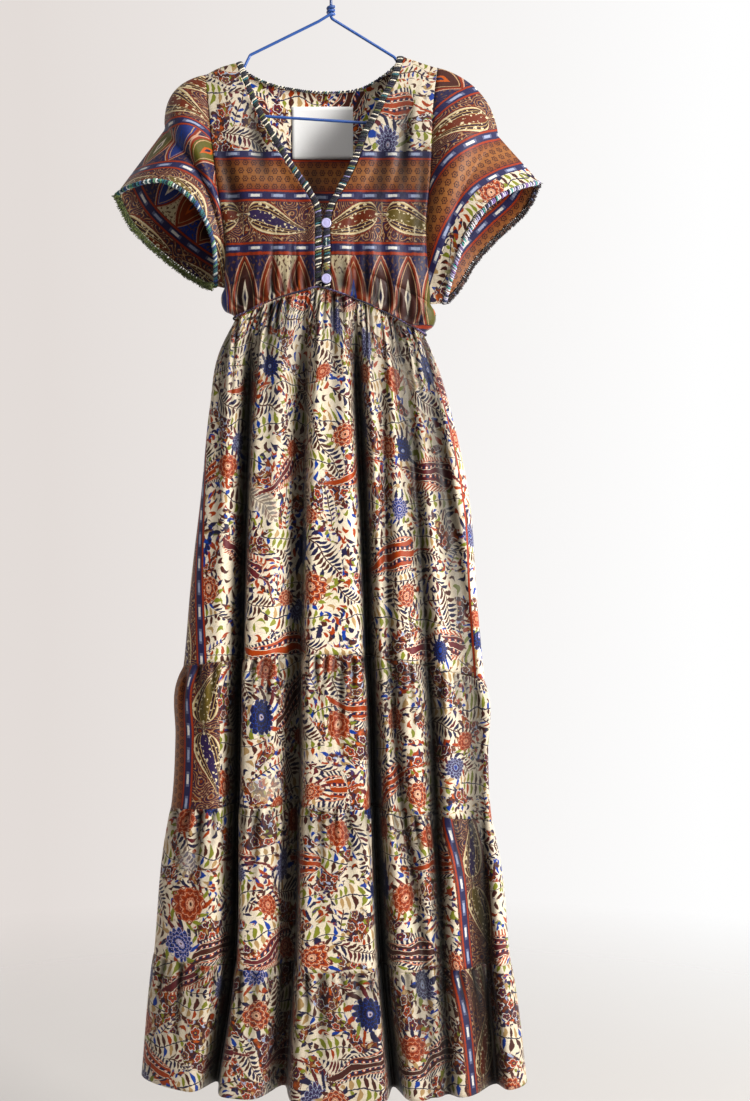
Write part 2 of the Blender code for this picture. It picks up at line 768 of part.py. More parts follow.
def button(row, seat):
    """A low round button whose back lies just off its seat."""
    radius = row.across * MM / 2
    thick = row.thick * MM
    steps = BUTTON_SIDES
    points = []
    for reach, depth in BUTTON_PROFILE:
        for k in range(steps):
            angle = 2 * math.pi * k / steps
            x = BUTTON_X + radius * reach * math.cos(angle)
            z = row.z * MM + radius * reach * math.sin(angle)
            points.append((x, seat - BUTTON_CLEARANCE - thick * depth, z))
    faces = [tuple(range(steps))[::-1]]
    for ring in range(len(BUTTON_PROFILE) - 1):
        for k in range(steps):
            a, b = ring * steps, (ring + 1) * steps
            j = (k + 1) % steps
            faces.append((a + k, a + j, b + j, b + k))
    faces.append(tuple((len(BUTTON_PROFILE) - 1) * steps + k for k in range(steps)))
    glossy = row.across > 12
    add(row.name, points, faces, LILAC if glossy else COVERED)


def buttons(right_front):
    """The four buttons, seated on the edging of the right front."""
    surface, inward = right_front
    edge = surface[:, -1]
    for row in BUTTONS:
        y = np.interp(-row.z * MM, -edge[:, 2], edge[:, 1])
        button(row, y + WALL / 2 - NECK_BAND_THICKNESS / 2)


def label(back):
    """A plain cloth patch just clear of the inside of the back panel."""
    surface, inward = back
    inner = surface + inward * WALL
    rows, columns = 4, 6
    x = np.linspace(*LABEL_X, columns + 1)
    made = []
    for z in np.linspace(*LABEL_Z, rows + 1):
        at_z = []
        for c in range(inner.shape[1]):
            line = inner[:, c]
            order = np.argsort(line[:, 2])
            at_z.append([np.interp(z, line[order, 2], line[order, k]) for k in range(2)])
        at_z = np.array(at_z)
        y = np.interp(x, at_z[:, 0], at_z[:, 1])
        made.append(np.stack([x, y, np.full(len(x), z)], axis=1))
    back_face = np.array(made)
    back_face[:, :, 1] -= LABEL_CLEARANCE
    front_face = back_face.copy()
    front_face[:, :, 1] -= LABEL_THICKNESS
    shell("label", front_face, back_face, WHITE_CLOTH)


# Hanger


def bend(before, corner, after):
    """Points round one bend of the wire, in place of its corner."""
    here = np.array((corner.x, corner.z)) * MM
    a = unit(np.array((before.x, before.z)) * MM - here)
    b = unit(np.array((after.x, after.z)) * MM - here)
    half = math.acos(np.clip(np.dot(a, b), -1, 1)) / 2
    radius = corner.radius * MM
    back = radius / math.tan(half)
    middle = here + unit(a + b) * radius / math.sin(half)
    start, end = here + a * back, here + b * back
    made = []
    for step in np.linspace(0, 1, BEND_STEPS + 1):
        ray = unit(start - middle) * (1 - step) + unit(end - middle) * step
        made.append(middle + unit(ray) * radius)
    return made


def wire_path():
    """The wire's centre line from the hook's tip to the end of the twist."""
    top = WIRE / 2 - HOOK_RADIUS
    path = []
    for angle in np.radians(np.linspace(HOOK_TIP_ANGLE, HOOK_STEM_ANGLE, 15)):
        path.append((HOOK_RADIUS * math.cos(angle), 0, top + HOOK_RADIUS * math.sin(angle)))
    last = path[-1]
    path.append((last[0] * 0.45, 0, (last[2] + STEM_TOP) / 2))
    path.append((last[0] * 0.1, 0, STEM_TOP))
    path.append((0, 0, STEM_TOP - 8 * MM))
    stem = Corner(0, STEM_TOP / MM, 0)
    arm_end = Corner(LEFT_ARM_TOP[0], LEFT_ARM_TOP[2], 0)
    ring = (stem, *HANGER_LOOP, arm_end)
    for before, corner, after in zip(ring, ring[1:], ring[2:]):
        path += [(x, 0, z) for x, z in bend(before, corner, after)]
    path.append(tuple(value * MM for value in LEFT_ARM_TOP))
    reach = WIRE + TWIST_CLEARANCE
    for turn in np.arange(-0.25, TWIST_TURNS - 0.25 + 0.01, 1 / 10):
        angle = 2 * math.pi * turn
        z = TWIST_START + TWIST_PITCH * (turn + 0.25)
        path.append((reach * math.cos(angle), reach * math.sin(angle), z))
    return np.array(path)


def hanger():
    """The hanger, one length of round coated wire."""
    path = wire_path()
    run = unit(np.gradient(path, axis=0))
    out = np.array((0.0, 1.0, 0.0))
    outs = []
    for direction in run:
        out = unit(out - direction * np.dot(out, direction))
        outs.append(out)
    outs = np.array(outs)
    across = np.cross(run, outs)
    band("hanger", path, across, outs, BLUE_WIRE, WIRE, WIRE, sides=WIRE_SIDES)


def build():
    clear_scene()
    hanger()
    fronts, back = bodice()
    neck_edging(fronts, back)
    waist_cord()
    buttons(fronts[1])
    label(back)
    for side, name in enumerate(("sleeve_left", "sleeve_right")):
        sleeve(name, side)
    for number in range(TIERS):
        tier(number, True)
        tier(number, False)


build()
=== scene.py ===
"""The printed maxi dress on its wire hanger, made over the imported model.

Tables hold millimetres; everything built is in metres, in the row frame: X across the
dress, -Y its front, +Z up, the origin under the top of the hanger's hook.
"""

import math
from collections import namedtuple

import bpy
import numpy as np
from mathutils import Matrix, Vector


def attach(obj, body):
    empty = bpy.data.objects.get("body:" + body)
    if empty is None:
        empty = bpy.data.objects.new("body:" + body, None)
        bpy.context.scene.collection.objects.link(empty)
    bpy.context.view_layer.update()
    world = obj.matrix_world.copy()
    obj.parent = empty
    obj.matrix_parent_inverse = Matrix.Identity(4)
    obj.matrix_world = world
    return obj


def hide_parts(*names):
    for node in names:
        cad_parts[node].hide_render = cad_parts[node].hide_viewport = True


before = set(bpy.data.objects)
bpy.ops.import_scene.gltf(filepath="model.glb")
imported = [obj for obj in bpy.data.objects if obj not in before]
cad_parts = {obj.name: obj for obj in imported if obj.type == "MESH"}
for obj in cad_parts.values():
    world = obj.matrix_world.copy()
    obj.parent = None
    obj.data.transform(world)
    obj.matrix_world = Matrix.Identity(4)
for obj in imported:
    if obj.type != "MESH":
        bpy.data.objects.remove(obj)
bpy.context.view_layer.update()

MM = 0.001


def each(kind, rows):
    """The rows of a table, each as a named tuple of this kind."""
    return tuple(kind(*row) for row in rows)


# Cloth
WALL = 1.0 * MM
HALF_GAP = 0.15 * MM
WAIST_HALF_GAP = 0.3 * MM
ARMHOLE_GAP = 0.3 * MM

# Skirt: how finely it is made, and its gathers
TIERS = 4
SECTION_SAMPLES = 2400
SECTION_FULLNESS = 0.7
COLUMNS = {True: 330, False: 220}
FIRST_TIER_ROWS, LOWER_TIER_ROWS = 96, 42
SKIRT_GATHERS = {True: 41, False: 29}
GATHER = 2.3 * MM
GATHER_RISE = 7 * MM
GATHER_FADE = 55 * MM
# Finer gathers among them: how many more there are, their height in millimetres, their fade
FINER, FINE_GATHER, FINE_FADE = 2.3, 0.9, 20 * MM
# How much of a gather or crease is lost down in a fold, and near a panel's sides
FOLD_CALM = 0.8
SIDE_FADE = 40
# Rows of points are closer together at a tier's top
ROW_CROWDING = 1.25
PUFF = 3.0 * MM
PUFF_FADE = 60 * MM
SHARPEST_MITRE = 0.6
# The folds seen are a little deeper and steeper than the solids' and set in sooner
EARLY, EARLY_DEPTH = 0.13, 0.45
DEEPER = 1.1
STEEPER = 0.86
CREASE_DEPTH = 1.5
CREASE_WIDTH = 0.85
CREASE_FADE = 0.8
CREASE_START = 4 * MM
# How much painted shade a fold, a metre of gather or a metre of crease puts down in its valley, of
# 1; a fold of this depth gets the darkest painted shade
FOLD_SHADE, GATHER_SHADE, CREASE_SHADE = 1.3, 280, 85
FOLD_SHADE_CURVE, DARKEST_DEPTH = 1.3, 25 * MM
# How much painted shade a metre of bodice crease and a metre of bodice gather put in their
# valleys, of 1
DRAPE_SHADE, BODICE_SHADE = 170, 560

# The skirt's outline: a station is 0 at the waist, 1 to 3 at the tier seams, 4 at the hem
Width = namedtuple("Width", "at left right front back")
SKIRT = each(Width, (
    (0.0, -124, 121, 30, 26), (0.1, -146, 140, 37, 31), (0.25, -157, 159, 43, 34),
    (0.5, -168, 181, 50, 38), (0.75, -181, 189, 56, 41), (1.0, -191, 199, 60, 43),
    (1.15, -200, 205, 62, 45), (1.5, -201, 204, 62, 45), (2.0, -207, 209, 64, 47),
    (2.3, -217, 220, 67, 49), (3.0, -229, 233, 68, 51), (3.3, -235, 241, 71, 53),
    (4.0, -245, 254, 72, 54),
))

# Heights of the waist seam, the tier seams and the hem; peak is where across the front
# each is highest, from -1 at the left to 1 at the right
Seam = namedtuple("Seam", "left front right back peak arch")
SEAMS = each(Seam, (
    (-473, -437, -494, -455, -0.12, 1.3), (-923, -905, -942, -925, -0.05, 1.8),
    (-1105, -1098, -1124, -1110, -0.1, 1.8), (-1293, -1304, -1306, -1298, 0.0, 2.0),
    (-1450, -1466, -1460, -1455, 0.0, 2.2),
))

# Fold valleys: where they stand across at the waist, the three tier seams and the hem;
# how wide their left and right slopes are; how deep at the waist, the first tier seam and
# the hem; how far the bottom leans to the right under the next fold; and how dark the painted
# shade in it is
FOLD_FIELDS = "waist seam1 seam2 seam3 hem left right top middle bottom lean dark"
Fold = namedtuple("Fold", FOLD_FIELDS, defaults=(1.0,))
FRONT_FOLDS = each(Fold, (
    (-104, -121, -127, -131, -154, 14, 11, 5, 34, 50, 8),
    (-33, -43, -46, -52, -63, 24, 11, 5, 36, 55, 3, 0.62),
    (30, 53, 61, 71, 86, 11, 11, 5, 32, 50, -5), (64, 76, 92, 120, 130, 10, 10, 6, 13, 8, 0),
    (93, 124, 134, 143, 150, 13, 12, 6, 19, 17, 0),
    (112, 182, 194, 203, 213, 26, 11, 2, 18, 40, 0),
))
BACK_FOLDS = each(Fold, (
    (-88, -135, -150, -162, -172, 14, 18, 4, 20, 28, 0),
    (-40, -62, -74, -82, -88, 15, 14, 4, 24, 34, -4), (8, 7, 4, 0, -4, 18, 13, 4, 18, 30, 3),
    (48, 72, 80, 88, 94, 14, 16, 4, 24, 33, 0), (90, 142, 156, 168, 180, 15, 13, 4, 20, 27, 3),
))

# Creases pressed in: where across they start at a tier's top, how far they drift
# sideways, and their length, width and depth
Crease = namedtuple("Crease", "x drift length width depth")
FRONT_CREASES = (
    each(Crease, (
        (-131, -6, 90, 5, 3.5), (-121, -8, 170, 4, 4.5), (-92, -8, 150, 6, 3.5),
        (-78, -8, 120, 4, 4.5), (-66, -5, 60, 4, 3.5), (-55, -7, 95, 5, 4),
        (-20, -2, 140, 6, 3.5), (-8, -1, 70, 4, 3), (3, 2, 105, 5, 3.5), (15, 3, 60, 4, 3.5),
        (43, 6, 95, 5, 4), (52, 9, 165, 6, 4), (75, 12, 120, 5, 4.5), (84, 14, 80, 4, 4),
        (104, 18, 150, 5, 4), (117, 20, 70, 4, 3), (-140, -14, 430, 11, 4),
        (-72, -14, 400, 15, 4.5), (8, -6, 430, 15, 3.5), (88, 14, 420, 12, 4),
        (128, 40, 420, 14, 5),
    )),
    each(Crease, (
        (-186, -2, 70, 5, 3), (-168, -3, 120, 7, 3.5), (-148, -2, 46, 4, 3),
        (-96, -4, 60, 5, 3.5), (-80, -5, 175, 8, 4), (-62, 0, 44, 4, 3), (-18, 2, 70, 5, 4),
        (-4, -2, 40, 4, 3), (10, 5, 150, 8, 3.5), (28, 2, 55, 5, 3.5), (42, 3, 34, 4, 3),
        (88, 2, 60, 5, 3.5), (102, 3, 90, 5, 4), (141, 0, 120, 5, 4), (160, 4, 60, 5, 3.5),
        (172, 5, 40, 4, 3),
    )),
    each(Crease, (
        (-198, -4, 80, 6, 3.5), (-180, -4, 45, 4, 3), (-165, -6, 130, 7, 3.5),
        (-146, -2, 50, 4, 3.5), (-108, -4, 60, 5, 3.5), (-92, -5, 105, 6, 4), (-72, -4, 40, 4, 3),
        (-28, 1, 55, 4, 3.5), (-12, 2, 150, 7, 4), (6, 2, 45, 4, 3.5), (24, 4, 90, 6, 3.5),
        (42, 4, 55, 5, 3.5), (82, 5, 60, 5, 3.5), (106, 10, 110, 6, 4), (160, 5, 80, 6, 4),
        (178, 6, 60, 4, 3.5),
    )),
    each(Crease, (
        (-212, -8, 60, 6, 3.5), (-190, -8, 110, 7, 4), (-168, -6, 50, 5, 3.5),
        (-150, -4, 40, 4, 3), (-112, -4, 70, 5, 4), (-94, -6, 130, 7, 3.5), (-76, -2, 40, 4, 3.5),
        (-30, 2, 60, 5, 4), (-10, 0, 120, 8, 4), (14, 6, 50, 4, 3.5), (34, 8, 90, 6, 4),
        (54, 6, 40, 4, 3.5), (96, 4, 60, 5, 4), (112, 6, 130, 6, 4), (166, 6, 60, 5, 4),
        (184, 8, 120, 6, 4.5),
    )),
)
BACK_CREASES = (
    each(Crease, (
        (-118, -14, 120, 5, 4), (-104, -16, 70, 4, 3.5), (-74, -16, 180, 6, 4),
        (-60, -10, 60, 4, 3), (-26, -6, 100, 5, 4), (-10, -2, 150, 6, 3.5), (26, 4, 70, 5, 3.5),
        (36, 12, 130, 5, 4), (66, 16, 90, 5, 3.5), (78, 22, 170, 6, 4), (106, 26, 80, 5, 3.5),
        (-66, -30, 420, 14, 4), (-18, -10, 410, 13, 3.5), (28, 12, 430, 15, 4),
        (72, 36, 400, 13, 4),
    )),
    each(Crease, (
        (-172, -4, 60, 5, 3.5), (-112, -6, 130, 7, 4), (-92, -4, 45, 4, 3), (-36, -3, 70, 5, 3.5),
        (-18, -4, 150, 7, 3.5), (34, 3, 50, 4, 3), (50, 3, 95, 6, 4), (104, 4, 60, 5, 3.5),
        (118, 6, 140, 7, 3.5), (168, 6, 50, 5, 3),
    )),
    each(Crease, (
        (-186, -5, 90, 6, 3.5), (-128, -4, 50, 4, 3.5), (-108, -6, 120, 7, 4),
        (-46, -3, 60, 5, 3.5), (-26, -3, 90, 6, 3.5), (30, 2, 130, 7, 4), (56, 3, 45, 4, 3),
        (112, 5, 70, 5, 4), (132, 5, 50, 4, 3), (184, 6, 110, 6, 3.5),
    )),
    each(Crease, (
        (-204, -8, 60, 5, 3.5), (-140, -6, 110, 7, 4), (-116, -5, 50, 4, 3.5),
        (-54, -3, 90, 6, 4), (-30, -2, 50, 4, 3), (28, 1, 60, 5, 3.5), (48, 2, 130, 7, 4),
        (118, 5, 60, 5, 3.5), (138, 6, 100, 6, 4), (206, 6, 70, 5, 3.5),
    )),
)

# Bodice
ARMHOLE_ROWS = 58
SIDE_FRACTIONS = tuple(np.linspace(0, 1, 15)[1:])
HALF_COLUMNS = 84
BACK_SHOULDER_COLUMNS = 14
BACK_NECK_COLUMNS = 110
ARMHOLE_HALF_DEPTH = 24 * MM
ARMHOLE_ROUNDNESS = 0.6
CHEST_DEPTH = 31 * MM
CHEST_REACH = 0.75
BLOUSE = 5 * MM
BLOUSE_FROM = 0.72
# The placket turns toward the waist over this last part of its height
WAIST_TURN_FROM, WAIST_TURN = 0.8, 0.2
# The gathers of a front half end at this share of the way to its centre edge
FRONT_GATHER_REACH = 0.93
BODICE_GATHER = 2.3 * MM
BODICE_GATHER_FADE = 34 * MM
HALF_GATHERS = 12
BACK_GATHERS = 22
SIDE_CROWDING = 0.45
BACK_BULGE = 8 * MM

# Creases of the bodice: their two ends across and up, their width and depth. Those that
# start at the waist run up from it
Drape = namedtuple("Drape", "x0 z0 x1 z1 width depth")
FRONT_DRAPES = each(Drape, (
    (-118, -462, -116, -415, 4, 3.5), (-104, -458, -101, -380, 5, 4),
    (-90, -454, -86, -425, 4, 3), (-76, -450, -70, -360, 5, 4.5), (-62, -446, -57, -400, 4, 3.5),
    (-48, -443, -45, -375, 5, 4), (-34, -440, -33, -405, 4, 3), (16, -440, 18, -385, 5, 4),
    (30, -444, 33, -410, 4, 3.5), (44, -450, 46, -365, 5, 4.5), (58, -456, 62, -415, 4, 3.5),
    (72, -463, 76, -385, 5, 4), (86, -471, 90, -435, 4, 3.5), (100, -480, 103, -405, 5, 4),
    (112, -486, 115, -445, 4, 3), (-106, -190, -84, -300, 9, 4),
    (-140, -250, -118, -360, 10, 3.5), (98, -180, 92, -330, 9, 4.5), (72, -240, 60, -350, 10, 3),
    (124, -240, 112, -400, 9, 3.5),
))
BACK_DRAPES = each(Drape, (
    (-112, -468, -110, -410, 5, 4), (-92, -464, -88, -430, 4, 3.5), (-70, -460, -66, -385, 5, 4),
    (-50, -458, -48, -425, 4, 3), (-28, -456, -25, -395, 5, 4), (-6, -455, -5, -420, 4, 3.5),
    (18, -456, 20, -390, 5, 4), (40, -459, 42, -425, 4, 3), (60, -463, 63, -400, 5, 4),
    (82, -470, 86, -430, 4, 3.5), (102, -480, 106, -415, 5, 4), (-110, -220, -80, -360, 12, 3.5),
    (90, -220, 66, -370, 12, 3.5), (-30, -240, -18, -380, 14, 2.5),
))

# Outlines seen from the front, x and z. Each pair of lists is left and right
ARMHOLE = (
    ((-163, -156), (-158.5, -193), (-151, -259), (-143.5, -317), (-136, -374), (-138, -433)),
    ((138, -147), (133.5, -184), (128, -297), (123, -356), (129, -454)),
)
SIDE_SEAM = (
    ((-138, -433), (-143, -446), (-138, -463), (-125.5, -470), (-124, -473)),
    ((129, -454), (136.5, -467), (133, -483), (122.5, -491), (121, -494)),
)
SHOULDER = (
    ((-163, -156), (-146, -147), (-124, -140)),
    ((138, -147), (112, -138.5), (95, -132.5)),
)
NECK_EDGE = (
    (
        (-124, -140), (-112, -173.5), (-98, -206), (-78.3, -242.5), (-57.8, -277.5),
        (-43.6, -298), (-29.5, -318.5), (-21.5, -334), (-20, -354), (-20, -385),
    ),
    (
        (95, -132.5), (86.4, -164.5), (73.2, -190), (62.8, -213), (48.6, -238.3), (37.7, -269),
        (26.9, -294.5), (13.5, -318.5), (4.5, -336), (0.6, -354), (0.6, -385),
    ),
)
BACK_NECK = (
    (-124, 0, -140), (-119, 6, -144.5), (-104, 13, -154), (-80, 18, -163.5), (-50, 22, -169),
    (-20, 23, -172.5), (8, 23, -172.5), (38, 22, -168.5), (64, 17, -156), (82, 11, -143.5),
    (91, 5, -136.5), (95, 0, -132.5),
)

# Sleeve hems: from the underarm along the front edge to the tip, and on along the back
SLEEVE_FRONT_HEM = (
    (
        (-147, 0, -431), (-149, -23, -374), (-174, -38, -324), (-210, -40, -302),
        (-254, -25, -304), (-277, 0, -308),
    ),
    (
        (144, 0, -453), (153, -22, -421), (171, -37, -373), (201, -40, -331), (235, -26, -308),
        (269, 0, -293),
    ),
)
SLEEVE_BACK_HEM = (
    ((-277, 0, -308), (-262, 25, -340), (-218, 39, -383), (-172, 31, -416), (-147, 0, -431)),
    (
        (269, 0, -293), (255, 21, -322), (217, 36, -357), (189, 38, -387), (165, 26, -426),
        (144, 0, -453),
    ),
)
SLEEVE_COLUMNS = 84
SLEEVE_ROWS = 46
CAP_PUFF = 20 * MM
CAP_END = (0.46, 0.6)
CAP_LEAN = 38
CAP_FULLNESS = 0.8
CAP_GATHERS = 15
CAP_GATHER = 1.5 * MM
CAP_GATHER_RISE, CAP_GATHER_FADE = 0.04, 0.16

# Edgings and cord
NECK_BAND_WIDTH = 9 * MM
NECK_BAND_THICKNESS = 3.4 * MM
BACK_BAND_WIDTH = 5.4 * MM
BACK_BAND_THICKNESS = 3 * MM
SLEEVE_BAND = 5.2 * MM
TUBE_SIDES = 8
CORD = 3 * MM
CORD_CLEARANCE = 0.8 * MM
BAND_ABOVE_WAIST = 3 * MM
EDGE_GAP = 0.3 * MM

# Buttons on the right edge of the placket, from the top; a covered one has a yarn
Button = namedtuple("Button", "name z across thick yarn")
BUTTONS = each(Button, (
    ("button_1", -356, 13, 3.2, None), ("button_2", -380, 10, 4.4, "spot"),
    ("button_3", -411.5, 10, 4.4, "leaf"), ("button_4", -427, 13, 3.2, None),
))
BUTTON_X = -5 * MM
BUTTON_CLEARANCE = 0.5 * MM

# Label inside the back neck, its two sides and its top and bottom
LABEL_X = (-53 * MM, 28 * MM)
LABEL_Z = (-187.5 * MM, -252.5 * MM)
LABEL_CLEARANCE = 0.5 * MM
LABEL_THICKNESS = 1 * MM

# Hanger
WIRE = 3.8 * MM
WIRE_SIDES = 14
HOOK_RADIUS = 18 * MM
HOOK_TIP_ANGLE = 200
HOOK_STEM_ANGLE = -50
STEM_TOP = -46 * MM
TWIST_START = -78 * MM
TWIST_TURNS = 2.5
TWIST_PITCH = 4.8 * MM
TWIST_CLEARANCE = 0.45 * MM
BEND_STEPS = 9
HOOK_STEPS = 40
Corner = namedtuple("Corner", "x z radius")
HANGER_LOOP = each(Corner, (
    (0, -82, 6), (82, -132.5, 6), (88, -141, 6), (199, -209, 9), (190, -227.5, 9),
    (-187, -203, 8), (-195.5, -187, 8), (-116.5, -153.5, 4), (-105, -130, 5),
))
LEFT_ARM_TOP = (-16, -2.2, -87)

# Camera
EYE = (0.0572, -1.9, -0.774)
SHOWN_HEIGHT = 1.4313
LONG_SIDE = 36


# Curves


def smooth(knots, values, at):
    """A smooth curve through values at the knots, read at these places."""
    knots = np.asarray(knots, float)
    values = np.asarray(values, float)
    at = np.clip(np.asarray(at, float), knots[0], knots[-1])
    slopes = np.gradient(values, knots, axis=0)
    i = np.clip(np.searchsorted(knots, at, side="right") - 1, 0, len(knots) - 2)
    span = knots[i + 1] - knots[i]
    s = (at - knots[i]) / span
    if values.ndim > 1:
        s = s[..., None]
        span = span[..., None]
    start = (1 + 2 * s) * (1 - s) ** 2 * values[i] + s * (1 - s) ** 2 * span * slopes[i]
    end = s * s * (3 - 2 * s) * values[i + 1] + s * s * (s - 1) * span * slopes[i + 1]
    return start + end


def lengths(line):
    """The distance along a line to each of its points."""
    return np.concatenate([[0], np.cumsum(np.linalg.norm(np.diff(line, axis=0), axis=1))])


def along(points, fractions, samples=500):
    """Points at these fractions of the length of a smooth curve through the points."""
    points = np.asarray(points, float)
    knots = lengths(points)
    line = smooth(knots, points, np.linspace(0, knots[-1], samples))
    done = lengths(line)
    at = np.asarray(fractions) * done[-1]
    return np.stack([np.interp(at, done, column) for column in line.T], axis=-1)


def unit(v):
    return v / np.maximum(np.linalg.norm(v, axis=-1, keepdims=True), 1e-12)


# Meshes


def painted_shade(piece, depths):
    """Stores the painted shade of each point of a piece, darker down in folds, gathers and
    creases, for its cloth to darken its colour by.
    """
    layer = piece.data.attributes.new("painted_shade", "FLOAT", "POINT")
    layer.data.foreach_set("value", np.tile(depths.ravel(), 2).astype(np.float32))


def add(name, points, faces, looks, uvs=None, which=None):
    """An object of these points and faces, shaded smooth, with a place in the cloth for
    each corner of each face."""
    mesh = bpy.data.meshes.new(name)
    mesh.from_pydata(points.tolist(), [], faces.tolist() if hasattr(faces, "tolist") else faces)
    mesh.update()
    mesh.shade_smooth()
    for look in looks:
        mesh.materials.append(look)
    if uvs is not None:
        layer = mesh.uv_layers.new(name="cloth")
        layer.uv.foreach_set("vector", np.ascontiguousarray(uvs, np.float32).ravel())
    if which is not None:
        mesh.polygons.foreach_set("material_index", np.asarray(which, np.int32))
    thing = bpy.data.objects.new(name, mesh)
    bpy.context.scene.collection.objects.link(thing)
    return thing


def grid_quads(rows, columns, closed):
    """The four corners of each quad of a grid, as row and column numbers."""
    across = columns if closed else columns - 1
    r, c = np.meshgrid(np.arange(rows - 1), np.arange(across), indexing="ij")
    r, c = r.ravel(), c.ravel()
    return np.stack([r, r, r + 1, r + 1]), np.stack([c, c + 1, c + 1, c])


def grid_faces(rows, columns, closed):
    """The four corners of each quad of a grid, as numbers of its points."""
    r, c = grid_quads(rows, columns, closed)
    return (r * columns + c % columns).T


def shell(name, outer, through, uv, look, closed=False, flip=False):
    """A thin cloth between a grid of points and those through its wall, with rims.

    uv holds a place in the cloth for each point, and one column more where it is closed.
    """
    rows, columns = outer.shape[:2]
    count = rows * columns
    way = -1 if flip else 1
    index = grid_faces(rows, columns, closed)
    places = uv[grid_quads(rows, columns, closed)].transpose(1, 0, 2)
    rims, rim_uv = [], []

    def rim(path, path_uv, way):
        quad = np.stack([path[:-1], path[1:], path[1:] + count, path[:-1] + count], axis=1)
        spot = np.stack([path_uv[:-1], path_uv[1:], path_uv[1:], path_uv[:-1]], axis=1)
        rims.append(quad[:, ::way])
        rim_uv.append(spot[:, ::way])

    steps = np.arange(columns + 1 if closed else columns)
    rim(steps % columns, uv[0, steps], way)
    rim((rows - 1) * columns + steps % columns, uv[-1, steps], -way)
    if not closed:
        down = np.arange(rows)
        rim(down * columns, uv[:, 0], -way)
        rim(down * columns + columns - 1, uv[:, -1], way)
    faces = np.concatenate([index[:, ::-way], index[:, ::way] + count, *rims])
    corners = np.concatenate([places[:, ::-way], places[:, ::way], *rim_uv])
    points = np.concatenate([outer.reshape(-1, 3), (outer + through).reshape(-1, 3)])
    return add(name, points, faces, [look], corners)


def tube_parts(centre, across, out, width, thickness, sides=TUBE_SIDES):
    """Points and quads of a flattened tube, without its ends."""
    turn = np.arange(sides) * 2 * math.pi / sides
    ring = np.cos(turn)[None, :, None] * across[:, None] * width / 2
    rise = np.sin(turn)[None, :, None] * out[:, None] * thickness / 2
    points = (centre[:, None] + ring + rise).reshape(-1, 3)
    faces = grid_faces(len(centre), sides, True)
    if np.dot(np.cross(across[0], out[0]), centre[1] - centre[0]) < 0:
        faces = faces[:, ::-1]
    return points, faces


def carried(line, first):
    """Directions across a line and out of it that turn as little as they can."""
    run = unit(np.gradient(line, axis=0))
    out = np.array(first, float)
    outs = []
    for direction in run:
        out = unit(out - direction * np.dot(out, direction))
        outs.append(out)
    outs = np.array(outs)
    return np.cross(run, outs), outs


class Pile:
    """Many small tubes gathered into one piece, each with its own number for its colour."""

    def __init__(self):
        self.points, self.faces, self.uvs, self.which = [], [], [], []
        self.count = 0

    def take(self, points, groups, spots, look):
        """Adds groups of faces over points, with a place in the yarn for each corner."""
        for faces in groups:
            self.faces += (faces + self.count).tolist()
            self.which += [look] * len(faces)
        self.points.append(points)
        self.uvs.append(spots.reshape(-1, 2))
        self.count += len(points)

    def tube(self, line, first, thickness, number, look=0, sides=5):
        points, faces = tube_parts(line, *carried(line, first), thickness, thickness, sides)
        ends = np.array([np.arange(sides)[::-1], (len(line) - 1) * sides + np.arange(sides)])
        run = lengths(line)[faces // sides] + (faces % sides) / sides * MM
        spots = np.stack([np.full(faces.shape, number + 0.5), run], axis=-1).reshape(-1, 2)
        caps = np.tile([[number + 0.5, 0.0]], (2 * sides, 1))
        self.take(points, (faces, ends), np.concatenate([spots, caps]), look)

    def build(self, name, looks):
        points = np.concatenate(self.points)
        return add(name, points, self.faces, looks, np.concatenate(self.uvs), self.which)


# Skirt


def seam_height(seam, q, front):
    """How high a seam runs at q, from -1 at the left side to 1 at the right."""
    top = seam.front if front else seam.back
    side = np.where(q < seam.peak, seam.left, seam.right)
    reach = np.where(q < seam.peak, 1 + seam.peak, 1 - seam.peak)
    return (top + (side - top) * (np.abs(q - seam.peak) / reach) ** seam.arch) * MM


def station_height(at, q, front):
    """The height of a station of the skirt, between the seams above and below it."""
    upper = min(int(at), TIERS - 1)
    part = at - upper
    above = seam_height(SEAMS[upper], q, front)
    below = seam_height(SEAMS[upper + 1], q, front)
    return above * (1 - part) + below * part


